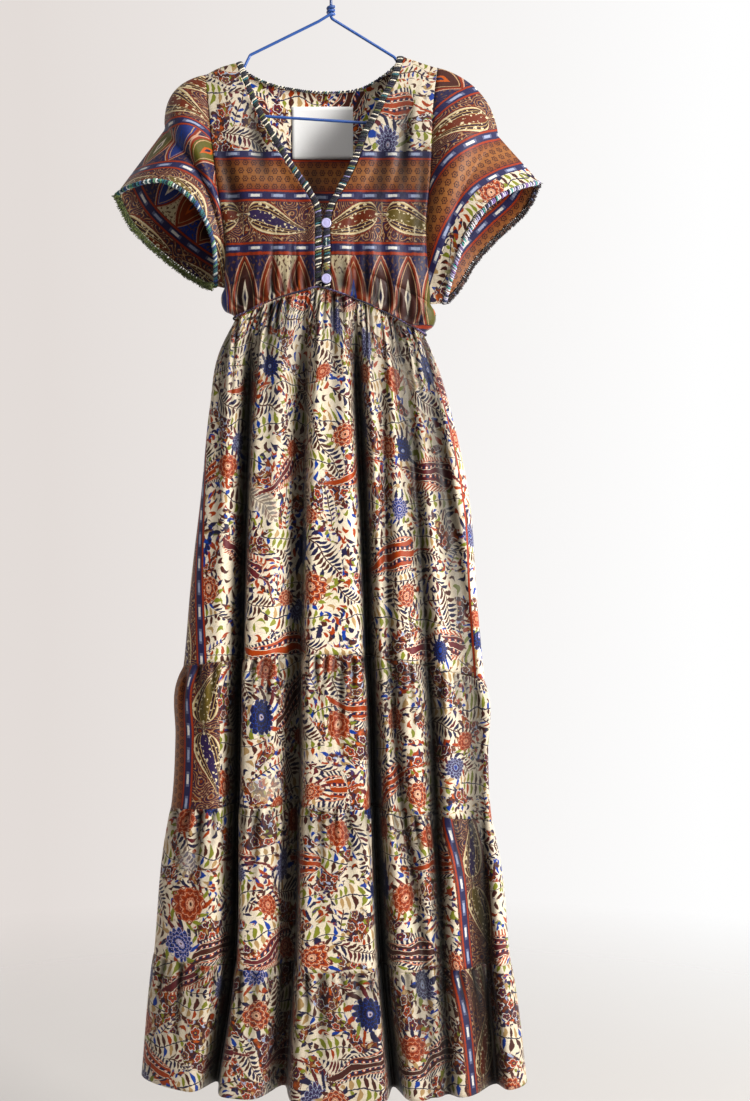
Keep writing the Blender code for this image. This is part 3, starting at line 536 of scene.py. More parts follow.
def section(at, fractions, front):
    """Points, outward directions, sideways places and how far in a valley each is, scaled for
    the painted shade in the valleys, across one side of the skirt, and the length of cloth there."""
    stations = [w.at for w in SKIRT]
    left, right, depth = (
        smooth(stations, [getattr(w, key) for w in SKIRT], at) * MM
        for key in ("left", "right", "front" if front else "back")
    )
    angle = np.linspace(math.pi, 0, SECTION_SAMPLES)
    q = np.cos(angle)
    x = (left + right) / 2 + q * (right - left) / 2
    bulge = np.maximum(np.sin(angle), 0)
    y = depth * bulge**SECTION_FULLNESS
    shift = np.zeros(SECTION_SAMPLES)
    sunk_and_shade = np.zeros(SECTION_SAMPLES)
    for fold in FRONT_FOLDS if front else BACK_FOLDS:
        middle = smooth(range(TIERS + 1), fold[: TIERS + 1], at) * MM
        start = fold.top + EARLY_DEPTH * (fold.middle - fold.top)
        depths = (fold.top, start, fold.middle * DEEPER, fold.bottom * DEEPER)
        deep = smooth((0, EARLY, 1, TIERS), depths, at) * MM
        reach = np.where(x < middle, fold.left, fold.right) * MM * STEEPER
        valley = np.exp(-(((x - middle) / reach) ** 2)) * bulge**0.5
        y = y - deep * valley
        shift = shift + fold.lean * MM * valley * min(at, 1)
        # How far in a valley, scaled by the fold's depth and darkness: the painted shade in the
        # valley, which also calms the gathers there
        sunk_and_shade = np.maximum(sunk_and_shade, valley * min(deep / DARKEST_DEPTH, 1) * fold.dark)
    if front:
        y = -y
    line = np.stack([x + shift, y], axis=1)
    slope = unit(np.gradient(line, axis=0))
    out = np.stack([slope[:, 1], -slope[:, 0]], axis=1)
    if not front:
        out = -out
    done = lengths(line)
    place = np.asarray(fractions) * done[-1]
    point = np.stack([np.interp(place, done, column) for column in line.T], axis=-1)
    out = unit(np.stack([np.interp(place, done, column) for column in out.T], axis=-1))
    out[np.asarray(fractions) <= 0] = (-1, 0)
    out[np.asarray(fractions) >= 1] = (1, 0)
    return point, out, np.interp(place, done, q), np.interp(place, done, sunk_and_shade), done[-1]


def gather_wave(fractions, count, phase):
    """The small gathers across a panel, uneven in width and height as hand gathering is."""
    shifted = count * fractions + 0.5 * np.sin(9 * fractions + phase)
    shifted = shifted + 0.28 * np.sin(31 * fractions + 2 * phase)
    uneven = 0.62 + 0.38 * np.sin(17 * fractions + phase) * np.sin(43 * fractions + 1)
    ends = np.clip(np.minimum(fractions, 1 - fractions) * 14, 0, 1)
    return np.cos(2 * math.pi * shifted) * uneven * ends


def pressed(x, below, creases):
    """How deep the creases are at these places across and distances below the seam."""
    depth = np.zeros(np.shape(x))
    for crease in creases:
        t = np.clip(below / (crease.length * MM), 0, 1)
        middle = (crease.x + crease.drift * t) * MM
        fade = (1 - t) ** CREASE_FADE * np.clip(below / CREASE_START, 0, 1)
        across = (x - middle) / (crease.width * CREASE_WIDTH * MM)
        depth += crease.depth * CREASE_DEPTH * MM * fade * np.exp(-(across**2))
    return depth


def wall_across(row, front):
    """From each point of a row straight through the wall, further where the row turns."""
    step = unit(np.diff(row[:, :2], axis=0))
    run = unit(step[:-1] + step[1:])
    reach = WALL / np.maximum(np.sum(run * step[:-1], axis=1), SHARPEST_MITRE)
    through = np.stack([-run[:, 1], run[:, 0], 0 * reach], axis=1) * reach[:, None]
    if not front:
        through = -through
    side = np.array([(WALL, 0, 0)])
    return np.concatenate([side, through, -side])


def tier(number, front):
    """One panel of a tier, hanging between its seams; returns the piece and its cut."""
    fractions = np.linspace(0, 1, COLUMNS[front] + 1)
    count = FIRST_TIER_ROWS if number == 0 else LOWER_TIER_ROWS
    steps = np.linspace(0, 1, count + 1) ** ROW_CROWDING
    creases = (FRONT_CREASES if front else BACK_CREASES)[number]
    phase = 1.7 * number + (0 if front else 4)
    rows, widths, shade_amounts = [], [], []
    for step in steps:
        point, out, q, sunk_and_shade, wide = section(number + step, fractions, front)
        z = station_height(number + step, q, front)
        below = station_height(float(number), q, front) - z
        rise = 1 - np.exp(-below / GATHER_RISE)
        calm = 1 - FOLD_CALM * sunk_and_shade
        wave = gather_wave(fractions, SKIRT_GATHERS[front], phase) * np.exp(-below / GATHER_FADE)
        fine = gather_wave(fractions, SKIRT_GATHERS[front] * FINER, phase + 2)
        wave = wave * GATHER + fine * FINE_GATHER * MM * np.exp(-below / FINE_FADE)
        push = rise * (PUFF * np.exp(-below / PUFF_FADE) + wave)
        crease = pressed(point[:, 0], below, creases)
        push = (push - crease) * calm
        # Painted shade, darker down in the folds and in the small gathers' and creases' valleys
        small = (np.minimum(wave, 0) * -GATHER_SHADE * rise + crease * CREASE_SHADE) * calm
        shade_amounts.append(np.clip(FOLD_SHADE * sunk_and_shade**FOLD_SHADE_CURVE + small, 0, 1))
        sides = np.clip(np.minimum(fractions, 1 - fractions) * SIDE_FADE, 0, 1)
        point = point + out * (push * sides)[:, None]
        rows.append(np.column_stack([point, z]))
        widths.append(wide)
    outer = np.array(rows)
    outer[0, :, 2] -= WAIST_HALF_GAP if number == 0 else HALF_GAP
    outer[-1, :, 2] += HALF_GAP
    outer[:, :, 1] += -HALF_GAP if front else HALF_GAP
    through = np.array([wall_across(row, front) for row in outer])
    cut = max(widths)
    uv = np.empty((*outer.shape[:2], 2))
    uv[:, :, 0] = fractions[None] * cut
    uv[:, :, 1] = -outer[:, :, 2]
    name = f"tier_{number + 1}_{'front' if front else 'back'}"
    look = skirt_look(name, number, outer, uv)
    piece = shell(name + "_cloth", outer, through, uv, look, flip=not front)
    painted_shade(piece, np.array(shade_amounts))
    drop = float(np.mean(outer[0, :, 2] - outer[-1, :, 2]))
    return piece, name, (cut, drop)


# Bodice


def armhole_fractions(rows):
    """Places down an armhole, closer together at its two ends."""
    return (1 - np.cos(np.linspace(0, math.pi, rows + 1))) / 2


def armhole_edge(side, rows):
    """The armhole's points seen from the front, its half depth, and its inward turn."""
    f = armhole_fractions(rows)
    flat = along(ARMHOLE[side], f) * MM
    half = ARMHOLE_HALF_DEPTH * np.sin(math.pi * f) ** ARMHOLE_ROUNDNESS
    slope = np.gradient(np.stack([half, flat[:, 1]], axis=1), axis=0)
    turn = unit(np.stack([-slope[:, 1], slope[:, 0]], axis=1))
    turn[0] = (0, -1)
    turn[-1] = (0, 1)
    return flat, half, turn


def side_edge(side, front):
    """The outer edge of a bodice panel: armhole, then side seam, with inward directions."""
    flat, half, turn = armhole_edge(side, ARMHOLE_ROWS)
    sign = -1 if front else 1
    seam = along(SIDE_SEAM[side], SIDE_FRACTIONS) * MM
    x = np.concatenate([flat[:, 0], seam[:, 0]])
    y = np.concatenate([sign * half, np.zeros(len(seam))])
    z = np.concatenate([flat[:, 1], seam[:, 1]])
    edge = np.stack([x, y, z], axis=1)
    inward = np.zeros_like(edge)
    count = ARMHOLE_ROWS + 1
    inward[:count, 1] = -sign * turn[:, 0]
    inward[:count, 2] = turn[:, 1]
    inward[count - 1 :] = (1 if side == 0 else -1, 0, 0)
    return edge, inward


def waist_points(x, front):
    """Points on the waist seam at these places across, with outward directions."""
    point, out, q, _, _ = section(0.0, np.linspace(0, 1, SECTION_SAMPLES), front)
    z = seam_height(SEAMS[0], q, front)
    y, z = np.interp(x, point[:, 0], point[:, 1]), np.interp(x, point[:, 0], z)
    turned = unit(np.stack([np.interp(x, point[:, 0], column) for column in out.T], axis=-1))
    return np.stack([x, y, z], axis=1), np.column_stack([turned, np.zeros(len(x))])


def coons(top, bottom, left, right, across, down):
    """A surface that fills the four edges; across and down are its own even places."""
    p = across[None, :, None]
    w = down[:, None, None]
    sides = (1 - p) * left[:, None] + p * right[:, None]
    ends = (1 - w) * top[None] + w * bottom[None]
    corners = (1 - w) * ((1 - p) * top[0] + p * top[-1])
    corners = corners + w * ((1 - p) * bottom[0] + p * bottom[-1])
    return sides + ends - corners


def inward_of(points, sign):
    """The inward directions over a grid of points."""
    normal = np.cross(np.gradient(points, axis=1), np.gradient(points, axis=0))
    return unit(normal) * sign


def draped(x, z, drapes):
    """How deep the bodice's creases are at these places."""
    depth = np.zeros(np.shape(x))
    for d in drapes:
        t = (z / MM - d.z0) / (d.z1 - d.z0)
        rising = d.z0 < d.z1
        fade = np.clip(1 - t, 0, 1) ** 0.9 * np.clip(t * 8 + 0.1, 0, 1)
        if not rising:
            fade = np.sin(math.pi * np.clip(t, 0, 1)) ** 0.7
        middle = (d.x0 + (d.x1 - d.x0) * np.clip(t, 0, 1)) * MM
        depth += d.depth * MM * fade * np.exp(-(((x - middle) / (d.width * MM)) ** 2))
    return depth


def bodice_swell(surface, down, across, front, gathers, drapes):
    """Adds blousing over the waist seam, gathers above it and creases; gives the painted
    shade in their valleys.
    """
    lift = np.clip((down - BLOUSE_FROM) / (1 - BLOUSE_FROM), 0, 1)
    blouse = BLOUSE * np.sin(math.pi * lift) ** 1.2
    above = surface[:, :, 2] - surface[-1:, :, 2]
    wave = gather_wave(across, gathers, 1.0 if front else 3.0)[None] * BODICE_GATHER
    wave = wave * (1 - np.exp(-above / GATHER_RISE)) * np.exp(-above / BODICE_GATHER_FADE)
    rounding = np.clip(np.minimum(across, 1 - across) * 8, 0, 1)
    sink = draped(surface[:, :, 0], surface[:, :, 2], drapes)
    sink = sink * np.clip(above / CREASE_START, 0, 1) * rounding[None] ** 0.5
    sign = -1 if front else 1
    surface[:, :, 1] += sign * (blouse[:, None] * rounding[None] + wave - sink)
    # Painted shade: darker down in the creases and between the gathers
    return np.clip(sink * DRAPE_SHADE - np.minimum(wave, 0) * BODICE_SHADE, 0, 1)


def front_panel(side):
    """The grid of a front bodice panel, from its side to its centre edge."""
    left, inward_side = side_edge(side, True)
    down = (left[:, 2] - left[0, 2]) / (left[-1, 2] - left[0, 2])
    neck = np.array(NECK_EDGE[side]) * MM
    bottom_x = neck[-1, 0]
    waist_end, _ = waist_points(np.array([bottom_x]), True)
    centre = along(np.vstack([neck, (bottom_x, waist_end[0, 2])]), down)
    chest = np.sin(math.pi / 2 * np.clip(down / CHEST_REACH, 0, 1)) ** ARMHOLE_ROUNDNESS
    depth = CHEST_DEPTH * chest
    turning = np.clip((down - WAIST_TURN_FROM) / WAIST_TURN, 0, 1)
    depth = depth + (-waist_end[0, 1] - depth) * turning
    right = np.stack([centre[:, 0], -depth, centre[:, 1]], axis=1)
    step = np.linspace(0, 1, HALF_COLUMNS + 1)
    across = (1 - SIDE_CROWDING) * step + SIDE_CROWDING * (1 - np.cos(math.pi / 2 * step))
    shoulder = along(SHOULDER[side], across) * MM
    top = np.stack([shoulder[:, 0], np.zeros(len(across)), shoulder[:, 1]], axis=1)
    waist_x = left[-1, 0] + across * (bottom_x - left[-1, 0])
    bottom, waist_out = waist_points(waist_x, True)
    bottom[0] = left[-1]
    surface = coons(top, bottom, left, right, across, down)
    part = across * FRONT_GATHER_REACH
    shade_amounts = bodice_swell(surface, down, part, True, HALF_GATHERS, FRONT_DRAPES)
    inward = inward_of(surface, 1 if side == 0 else -1)
    inward[:, -1, 0] = 0
    inward[:, -1] = unit(inward[:, -1])
    inward[-1] = -waist_out
    inward[:, 0] = inward_side
    inward[0] = (0, 0, -1)
    surface[-1, :, 2] += WAIST_HALF_GAP
    surface[:, :, 1] -= HALF_GAP
    return surface, inward, shade_amounts


def back_panel():
    """The grid of the back bodice panel, from the left to the right seen from the front."""
    left, inward_left = side_edge(0, False)
    right, inward_right = side_edge(1, False)
    down = (left[:, 2] - left[0, 2]) / (left[-1, 2] - left[0, 2])
    shoulder_step = np.linspace(0, 1, BACK_SHOULDER_COLUMNS + 1)
    flat_left = along(SHOULDER[0], shoulder_step)
    flat_right = along(SHOULDER[1], shoulder_step)[::-1]
    neck = along(BACK_NECK, np.linspace(0, 1, BACK_NECK_COLUMNS + 1))
    lift = [np.stack([f[:, 0], 0 * f[:, 0], f[:, 1]], axis=1) for f in (flat_left, flat_right)]
    top = np.concatenate([lift[0], neck[1:-1], lift[1]]) * MM
    across = lengths(top[:, [0, 2]])
    across = across / across[-1]
    waist_x = left[-1, 0] + across * (right[-1, 0] - left[-1, 0])
    bottom, waist_out = waist_points(waist_x, False)
    bottom[0], bottom[-1] = left[-1], right[-1]
    surface = coons(top, bottom, left, right, across, down)
    bulge = np.sin(math.pi * across)[None] * np.sin(math.pi * down)[:, None]
    surface[:, :, 1] += BACK_BULGE * bulge
    shade_amounts = bodice_swell(surface, down, across, False, BACK_GATHERS, BACK_DRAPES)
    inward = inward_of(surface, -1)
    inward[-1] = -waist_out
    inward[:, 0] = inward_left
    inward[:, -1] = inward_right
    shoulders = [*range(BACK_SHOULDER_COLUMNS + 1), *range(-BACK_SHOULDER_COLUMNS - 1, 0)]
    inward[0, shoulders] = (0, 0, -1)
    surface[-1, :, 2] += WAIST_HALF_GAP
    surface[:, :, 1] += HALF_GAP
    return surface, inward, shade_amounts


# Sleeves


def sleeve_grid(side):
    """The grid of a sleeve from its armhole to its wide hem."""
    flat, half, turn = armhole_edge(side, SLEEVE_COLUMNS)
    outward = -1 if side == 0 else 1
    f = armhole_fractions(SLEEVE_COLUMNS)
    front = np.stack([flat[:, 0], -half, flat[:, 1]], axis=1)[::-1]
    back = np.stack([flat[:, 0], half, flat[:, 1]], axis=1)[1:-1]
    hole = np.concatenate([front, back])
    hole[:, 0] += outward * ARMHOLE_GAP
    zero = np.zeros(len(f))
    turn_front = np.stack([zero, turn[:, 0], turn[:, 1]], axis=1)[::-1]
    turn_back = np.stack([zero, -turn[:, 0], turn[:, 1]], axis=1)[1:-1]
    hole_inward = np.concatenate([turn_front, turn_back])
    hem_front = along(SLEEVE_FRONT_HEM[side], f) * MM
    hem_back = along(SLEEVE_BACK_HEM[side], f)[1:-1] * MM
    hem = np.concatenate([hem_front, hem_back])
    around = np.concatenate([f - 1, f[1:-1]]) * math.pi
    lean = math.radians(CAP_LEAN)
    up = np.array((outward * math.cos(lean), 0, math.sin(lean)))
    puff = np.cos(around)[:, None] * up
    puff[:, 1] = np.sin(around)
    weight = np.cos(around / 2) ** 2
    wave = gather_wave((around + math.pi) / (2 * math.pi), CAP_GATHERS * 2, side + 0.6)
    rows = []
    for t in np.linspace(0, 1, SLEEVE_ROWS + 1):
        swell = CAP_PUFF * math.sin(math.pi * min(t / CAP_END[side], 1)) ** CAP_FULLNESS
        small = CAP_GATHER * wave * weight * (1 - math.exp(-t / CAP_GATHER_RISE))
        small = small * math.exp(-t / CAP_GATHER_FADE)
        reach = weight * swell + small
        rows.append((1 - t) * hole + t * hem + puff * reach[:, None])
    surface = np.array(rows)
    wrapped = np.concatenate([surface[:, -1:], surface, surface[:, :1]], axis=1)
    inward = inward_of(wrapped, outward)[:, 1:-1]
    inward[0] = hole_inward
    return surface, inward, around


# Node trees

CREAM, TAN, GOLD, OLIVE = "f0e2ca", "b9986a", "c9a25a", "868a34"
RUST, ORANGE, SALMON = "a8492c", "c8663c", "dc9a7c"
BROWN, MAROON, NAVY, PURPLE = "4a241d", "64282c", "231f3f", "4a3a66"
COBALT, PALE_BLUE, WHITE = "2b489c", "a9b3cf", "f2efe8"


def srgb(code):
    """A linear colour from a six-figure code."""
    parts = [int(code[i : i + 2], 16) / 255 for i in (0, 2, 4)]
    made = [c / 12.92 if c <= 0.04045 else ((c + 0.055) / 1.055) ** 2.4 for c in parts]
    return (*made, 1.0)


def term(operation, swapped=False):
    """A method of Value that adds one Math node."""

    def method(self, *others):
        terms = (*others, self) if swapped else (self, *others)
        return self.net.math(operation, *terms)

    return method


class Value:
    """A number in a node tree; sums done with it add Math nodes."""

    __add__, __radd__ = term("ADD"), term("ADD", True)
    __sub__, __rsub__ = term("SUBTRACT"), term("SUBTRACT", True)
    __mul__, __rmul__ = term("MULTIPLY"), term("MULTIPLY", True)
    __truediv__ = term("DIVIDE")
    floor, fract, abs = term("FLOOR"), term("FRACT"), term("ABSOLUTE")
    sin, cos, sqrt = term("SINE"), term("COSINE"), term("SQRT")

    def __init__(self, net, socket):
        self.net, self.socket = net, socket

    def under(self, limit, soft=0.35):
        """1 where this is below the limit, with an edge as soft as that."""
        return self.net.math("ADD", (limit - self) * (1 / soft), 0.5, clamp=True)

    def over(self, limit, soft=0.35):
        """1 where this is above the limit."""
        return 1 - self.under(limit, soft)

    def near(self, middle, reach, soft=0.35):
        """1 where this is within reach of a middle."""
        return (self - middle).abs().under(reach, soft)


class Net:
    """Makes nodes in a tree and links them. A colour may be a six-figure code."""

    def __init__(self, tree):
        self.tree = tree

    def node(self, kind, feed=None, **settings):
        """A node with these settings, and what is fed to its inputs."""
        made = self.tree.nodes.new("ShaderNode" + kind)
        for key, value in settings.items():
            setattr(made, key, value)
        for key, value in (feed or {}).items():
            self.put(made.inputs[key], value)
        return made

    def put(self, socket, value):
        if isinstance(value, str):
            value = srgb(value)
        if isinstance(value, Value):
            value = value.socket
        if isinstance(value, bpy.types.NodeSocket):
            self.tree.links.new(value, socket)
        else:
            socket.default_value = value

    def math(self, operation, *terms, clamp=False):
        feed = dict(enumerate(terms))
        made = self.node("Math", feed, operation=operation, use_clamp=clamp)
        return Value(self, made.outputs[0])

    def least(self, a, b):
        return self.math("MINIMUM", a, b)

    def most(self, a, b):
        return self.math("MAXIMUM", a, b)

    def mix(self, mask, a, b):
        return self.node("Mix", {0: mask, 6: a, 7: b}, data_type="RGBA").outputs[2]

    def lay(self, colour, *coats):
        """A colour under coats, each a mask and the colour that shows through it."""
        for mask, coat in coats:
            colour = self.mix(mask, colour, coat)
        return colour

    def split(self, socket, kind="XYZ"):
        """The three numbers of a vector or a colour."""
        made = self.node("Separate" + kind, {0: socket})
        return [Value(self, part) for part in made.outputs[:3]]

    def vector(self, x, y, z=0.0):
        return self.node("CombineXYZ", {0: x, 1: y, 2: z}).outputs[0]

    def chance(self, x, y, z=0.0):
        """Four random numbers for a whole-numbered place."""
        feed = {"Vector": self.vector(x, y, z)}
        made = self.node("TexWhiteNoise", feed, noise_dimensions="3D")
        return [*self.split(made.outputs["Color"], "Color"), Value(self, made.outputs["Value"])]

    def noise(self, x, y, size, detail=1.0):
        """Smooth noise from 0 to 1, and two more of it, at this size in millimetres."""
        feed = {"Vector": self.vector(x, y), "Scale": 1 / size, "Detail": detail}
        made = self.node("TexNoise", feed, noise_dimensions="2D")
        return self.split(made.outputs["Color"], "Color")

    def pick(self, palette, value):
        """One colour of a palette of shares and colours, chosen by a value from 0 to 1."""
        made = self.node("ValToRGB", {0: value})
        ramp = made.color_ramp
        ramp.interpolation = "CONSTANT"
        total, done = sum(share for share, _ in palette), 0.0
        for i, (share, colour) in enumerate(palette):
            stop = ramp.elements[i] if i < 2 else ramp.elements.new(1.0)
            stop.position = done / total
            stop.color = srgb(colour)
            done += share
        return made.outputs[0]


# The print. Sizes are in millimetres of cloth


def cell(net, x, y, wide, high, seed):
    """Places about the middle of each cell of a brick-like grid, and its random numbers."""
    row = (y / high).floor()
    x = x + (row * 0.5).fract() * wide
    column = (x / wide).floor()
    here_x = x - (column + 0.5) * wide
    here_y = y - (row + 0.5) * high
    return here_x, here_y, net.chance(column, row, seed)


def turned(x, y, angle):
    c, s = angle.cos(), angle.sin()
    return x * c + y * s, y * c - x * s


def polar(net, x, y):
    return (x * x + y * y).sqrt(), net.math("ARCTAN2", y, x)


def leaf_width(t, wide):
    """Half the width of a leaf, fullest before its middle, at t from 0 to 1 along it."""
    return t * (1 - t) * (2.7 - t * 1.4) * wide


def strew(net, colour, x, y, way, size, seed, length, wide, palette, where=1.0):
    """Curved leaves strewn all over, side by side along the way that they flow."""
    x, y, (a, b, _, d) = cell(net, x, y, size, size * 0.86, seed)
    side = b.under(0.5, 0.01) * 2.0 - 1.0
    x, y = turned(x, y, way + side * 0.75 + a * 0.9)
    t = net.least(x / length + 0.5, 1.0)
    y = y - x * x * side * 0.05
    return net.mix(y.abs().under(leaf_width(t, wide)) * where, colour, net.pick(palette, d))


FROND_FIELDS = "wide high seed chance angle sway half pitch length leaf lean bend stem palette"
Frond = namedtuple("Frond", FROND_FIELDS)


def frond(net, colour, x, y, f):
    """Rows of leaves down both sides of stems, one stem to a cell, on clear ground."""
    x, y, (a, b, c, _) = cell(net, x, y, f.wide, f.high, f.seed)
    x, y = turned(x, y, (a - 0.5) * f.sway + f.angle)
    y = y + x * x * ((c - 0.5) * f.bend)
    off = y.abs()
    taper = 1 - (x * (1 / f.half)) * (x * (1 / f.half))
    t = off / (net.most(taper, 0.02) * f.length)
    there = b.under(f.chance, 0.01) * x.abs().under(f.half, 0.5)
    clear = t.under(1.02, 0.1) * there
    run = (x + off * f.lean + off * off * 0.035) * (1 / f.pitch)
    lens = leaf_width(net.least(t, 1.0), f.leaf)
    leaf = ((run.fract() - 0.5) * f.pitch).abs().under(lens) * there
    picked = net.chance(run.floor(), y.under(0.0, 0.01), a * 91)
    leaves = (leaf, net.pick(f.palette, picked[3]))
    return net.lay(colour, (clear, CREAM), leaves, (off.under(0.7) * there, f.stem))


FLOWER_FIELDS = "wide high seed chance radius tall petals layer ring leaves kinds lines deeps"
Flower = namedtuple("Flower", FLOWER_FIELDS)


def flower(net, colour, x, y, f):
    """Round layered flowers in a crown of curved leaves, one to a cell."""
    x, y, (a, b, c, d) = cell(net, x, y, f.wide, f.high, f.seed)
    size = 1.3 - d * 0.5
    x = (x + (a - 0.5) * (f.wide - 2.6 * f.radius)) * size
    y = (y + (c - 0.5) * (f.high - 2.8 * f.radius)) * size * (1 / f.tall)
    r, angle = polar(net, x, y)
    there = b.under(f.chance, 0.01)
    t = (r - f.radius * 0.8) * (1 / f.ring)
    clear = t.under(0.62, 0.1) * there
    run = angle * (f.leaves / 6.283) + t * (a * 1.6 - 0.8)
    lens = leaf_width(net.least(t, 1.0), 4.6)
    leaf = ((run.fract() - 0.5) * r * (6.283 / f.leaves)).abs().under(lens) * there
    wild = net.chance(run.floor(), d * 57, f.seed)[3]
    low = (y * (1 / f.radius) + a).under(0.2, 0.1)
    greens = net.mix(low, net.pick(CROWN, wild), net.pick(DARK, wild))
    turn = (r * (1 / f.layer)).floor() * 1.57 + d * 6.0
    scallop = ((angle * (f.petals / 2)) + turn).sin().abs()
    edge = r / (scallop * 0.24 + 0.8)
    body = edge.under(f.radius) * there
    ring = (edge * (1 / f.layer)).fract()
    deep = net.pick(f.deeps, c)
    return net.lay(
        colour,
        (clear, CREAM),
        (leaf, greens),
        (body, net.pick(f.kinds, c)),
        (ring.under(0.3, 0.3) * body, deep),
        (ring.near(0.86, 0.13, 0.1) * body, net.pick(f.lines, c)),
        (scallop.near(0.9, 0.06, 0.05) * body * 0.7, deep),
        (r.under(f.layer * 0.62) * there, net.pick(f.lines, d)),
        (r.under(f.layer * 0.26) * there, BROWN),
    )


def blossom(net, colour, x, y, where):
    """Small five-petalled blossoms with a pale rim and a dark eye."""
    wide, high, radius = 16.5, 15.0, 5.4
    x, y, (a, _, c, d) = cell(net, x, y, wide, high, 4.7)
    x = x + (a - 0.5) * (wide - 2.4 * radius)
    y = y + (d - 0.5) * (high - 2.4 * radius)
    r, angle = polar(net, x, y)
    edge = r / (((angle + a * 6.283) * 2.5).sin().abs() * 0.34 + 0.7)
    return net.lay(
        colour,
        (edge.under(radius + 0.8) * where, WHITE),
        (edge.under(radius) * where, net.pick(FLORETS, c)),
        (edge.under(radius * 0.45) * where, NAVY),
        (r.under(radius * 0.17) * where, GOLD),
    )


def leafy(net, colour, x, y, way, where):
    """Small light leaves on a dark patch."""
    x, y, (a, _, _, d) = cell(net, x, y, 8.6, 7.2, 2.2)
    x, y = turned(x, y, way + a * 3.0)
    t = x / 8.0 + 0.5
    mask = y.abs().under(t * (1 - t) * 6.4) * where
    return net.mix(mask, colour, net.pick(TWIGS, d))


def thicket(net, colour, x, y, field, crowd):
    """Dark patches of ground crowded with pale-rimmed florets and small leaves."""
    patch = field.under(crowd, 0.012)
    stain = net.noise(x, y, 13, 0.0)
    colour = net.mix(patch, colour, net.pick(EARTHS, (stain[0] - 0.34) * 3.1))
    colour = leafy(net, colour, x, y, field * 30.0, patch)
    return blossom(net, colour, x, y, patch)


def drop_field(net, x, y, length, wide, curl):
    """How deep inside a curled drop a place is, from 1 on its axis down past 0 outside, and
    how far it is across the axis."""
    t = x * (1 / length) + 0.5
    y = y - (t * 3.1).cos() * curl
    inside = net.most(t * (1 - t), 0.0005)
    half = inside.sqrt() * (t * 1.35 + 0.15) * wide
    return 1 - y.abs() / net.most(half, 0.05), y


def paisley(net, colour, x, y):
    """Large curled drops in nested dotted bands, one to a cell."""
    x, y, (a, b, c, _) = cell(net, x, y, 150, 112, 12.6)
    x, y = turned(x, y, (a - 0.5) * 1.3 + 0.1)
    inside, across = drop_field(net, x, y, 104.0, 34.0, 13.0)
    there = b.under(0.6, 0.01)
    fringe = (x * (1 / 5.0) + across.abs() * 0.12).fract().under(0.55, 0.2)
    body = inside.over(0.0, 0.03) * there
    band = (across.abs() * (1 / 8.4)).fract()
    dot, _ = polar(net, ((x * (1 / 8.0)).fract() - 0.5) * 8.0, (band - 0.72) * 8.4)
    return net.lay(
        colour,
        (inside.over(-0.34, 0.05) * there, net.mix(fringe, CREAM, net.pick(FRINGES, c))),
        (body, NAVY),
        (band.under(0.42, 0.05) * body, net.pick(BANDS, c)),
        (band.near(0.46, 0.05, 0.04) * body, CREAM),
        (dot.under(2.0) * body, ORANGE),
        (dot.under(1.0) * body, WHITE),
        (inside.near(0.06, 0.035, 0.03) * there, SALMON),
    )


MIXED = ((3.4, NAVY), (6, BROWN), (1.8, COBALT), (2, OLIVE), (4, RUST), (2, TAN))
BOLD = ((3, NAVY), (5, MAROON), (4.4, RUST), (2, OLIVE), (1.4, COBALT), (1.8, TAN))
COOL = ((4, NAVY), (2.4, COBALT), (2, PURPLE), (3, RUST), (1.2, OLIVE))
COMB = ((4, OLIVE), (3, TAN), (3, BROWN), (1, COBALT), (0.8, RUST))
DARK = ((5, NAVY), (3, BROWN), (1.6, MAROON))
CROWN = ((5, OLIVE), (2.4, NAVY), (2, COBALT), (2, TAN), (2, RUST))
FRINGES = ((2, RUST), (2, NAVY))
BANDS = ((3, MAROON), (2, RUST), (2, BROWN))
FILLINGS = ((2, "6b5a2a"), (3, "33234a"), (3, "70321f"))
EARTHS = ((3, BROWN), (1.2, "2a2040"), (2.4, "74381f"), (1.6, BROWN), (1, "8f4a2c"))
FLORETS = ((4, RUST), (3, MAROON), (2, "7a4632"))
TWIGS = ((3, TAN), (2, ORANGE), (2, OLIVE), (2, PALE_BLUE), (3, NAVY))
BETWEEN_ARCHES = ((4, "2a2348"), (2, "dccaa6"), (1.2, "2f3f8c"))
IN_ARCHES = ((3, "8a3b22"), (2, "33407f"), (2, "5f5a24"), (3, BROWN))
BUDS = ((2, ORANGE), (2, CREAM), (1, COBALT))

FRONDS = each(Frond, (
    (96, 60, 4.3, 0.5, -0.9, 2.2, 40, 6.6, 8.0, 3.4, -0.6, 0.02, BROWN, COOL),
    (92, 64, 3.1, 0.74, 0.75, 1.3, 39, 6.2, 15, 4.4, -0.9, 0.016, BROWN, DARK),
    (72, 50, 2.2, 0.62, 0.0, 0.5, 30, 8.6, 15, 5.2, -0.35, 0.008, NAVY, COMB),
))
BLUISH = Flower(
    128, 118, 1.9, 0.8, 14.5, 1.3, 14, 3.6, 13, 11,
    ((3, NAVY), (3, PURPLE), (2, COBALT)),
    ((3, COBALT), (3, PALE_BLUE), (2, "cfc3d8")),
    ((3, "171433"), (3, NAVY), (2, NAVY)),
)
RUSTY = Flower(
    116, 96, 7.9, 0.85, 17.5, 0.95, 9, 5.4, 12, 13,
    ((4, RUST), (3, "b8532f")),
    ((4, SALMON), (3, "e8b99a")),
    ((4, "7c2f22"), (3, MAROON)),
)


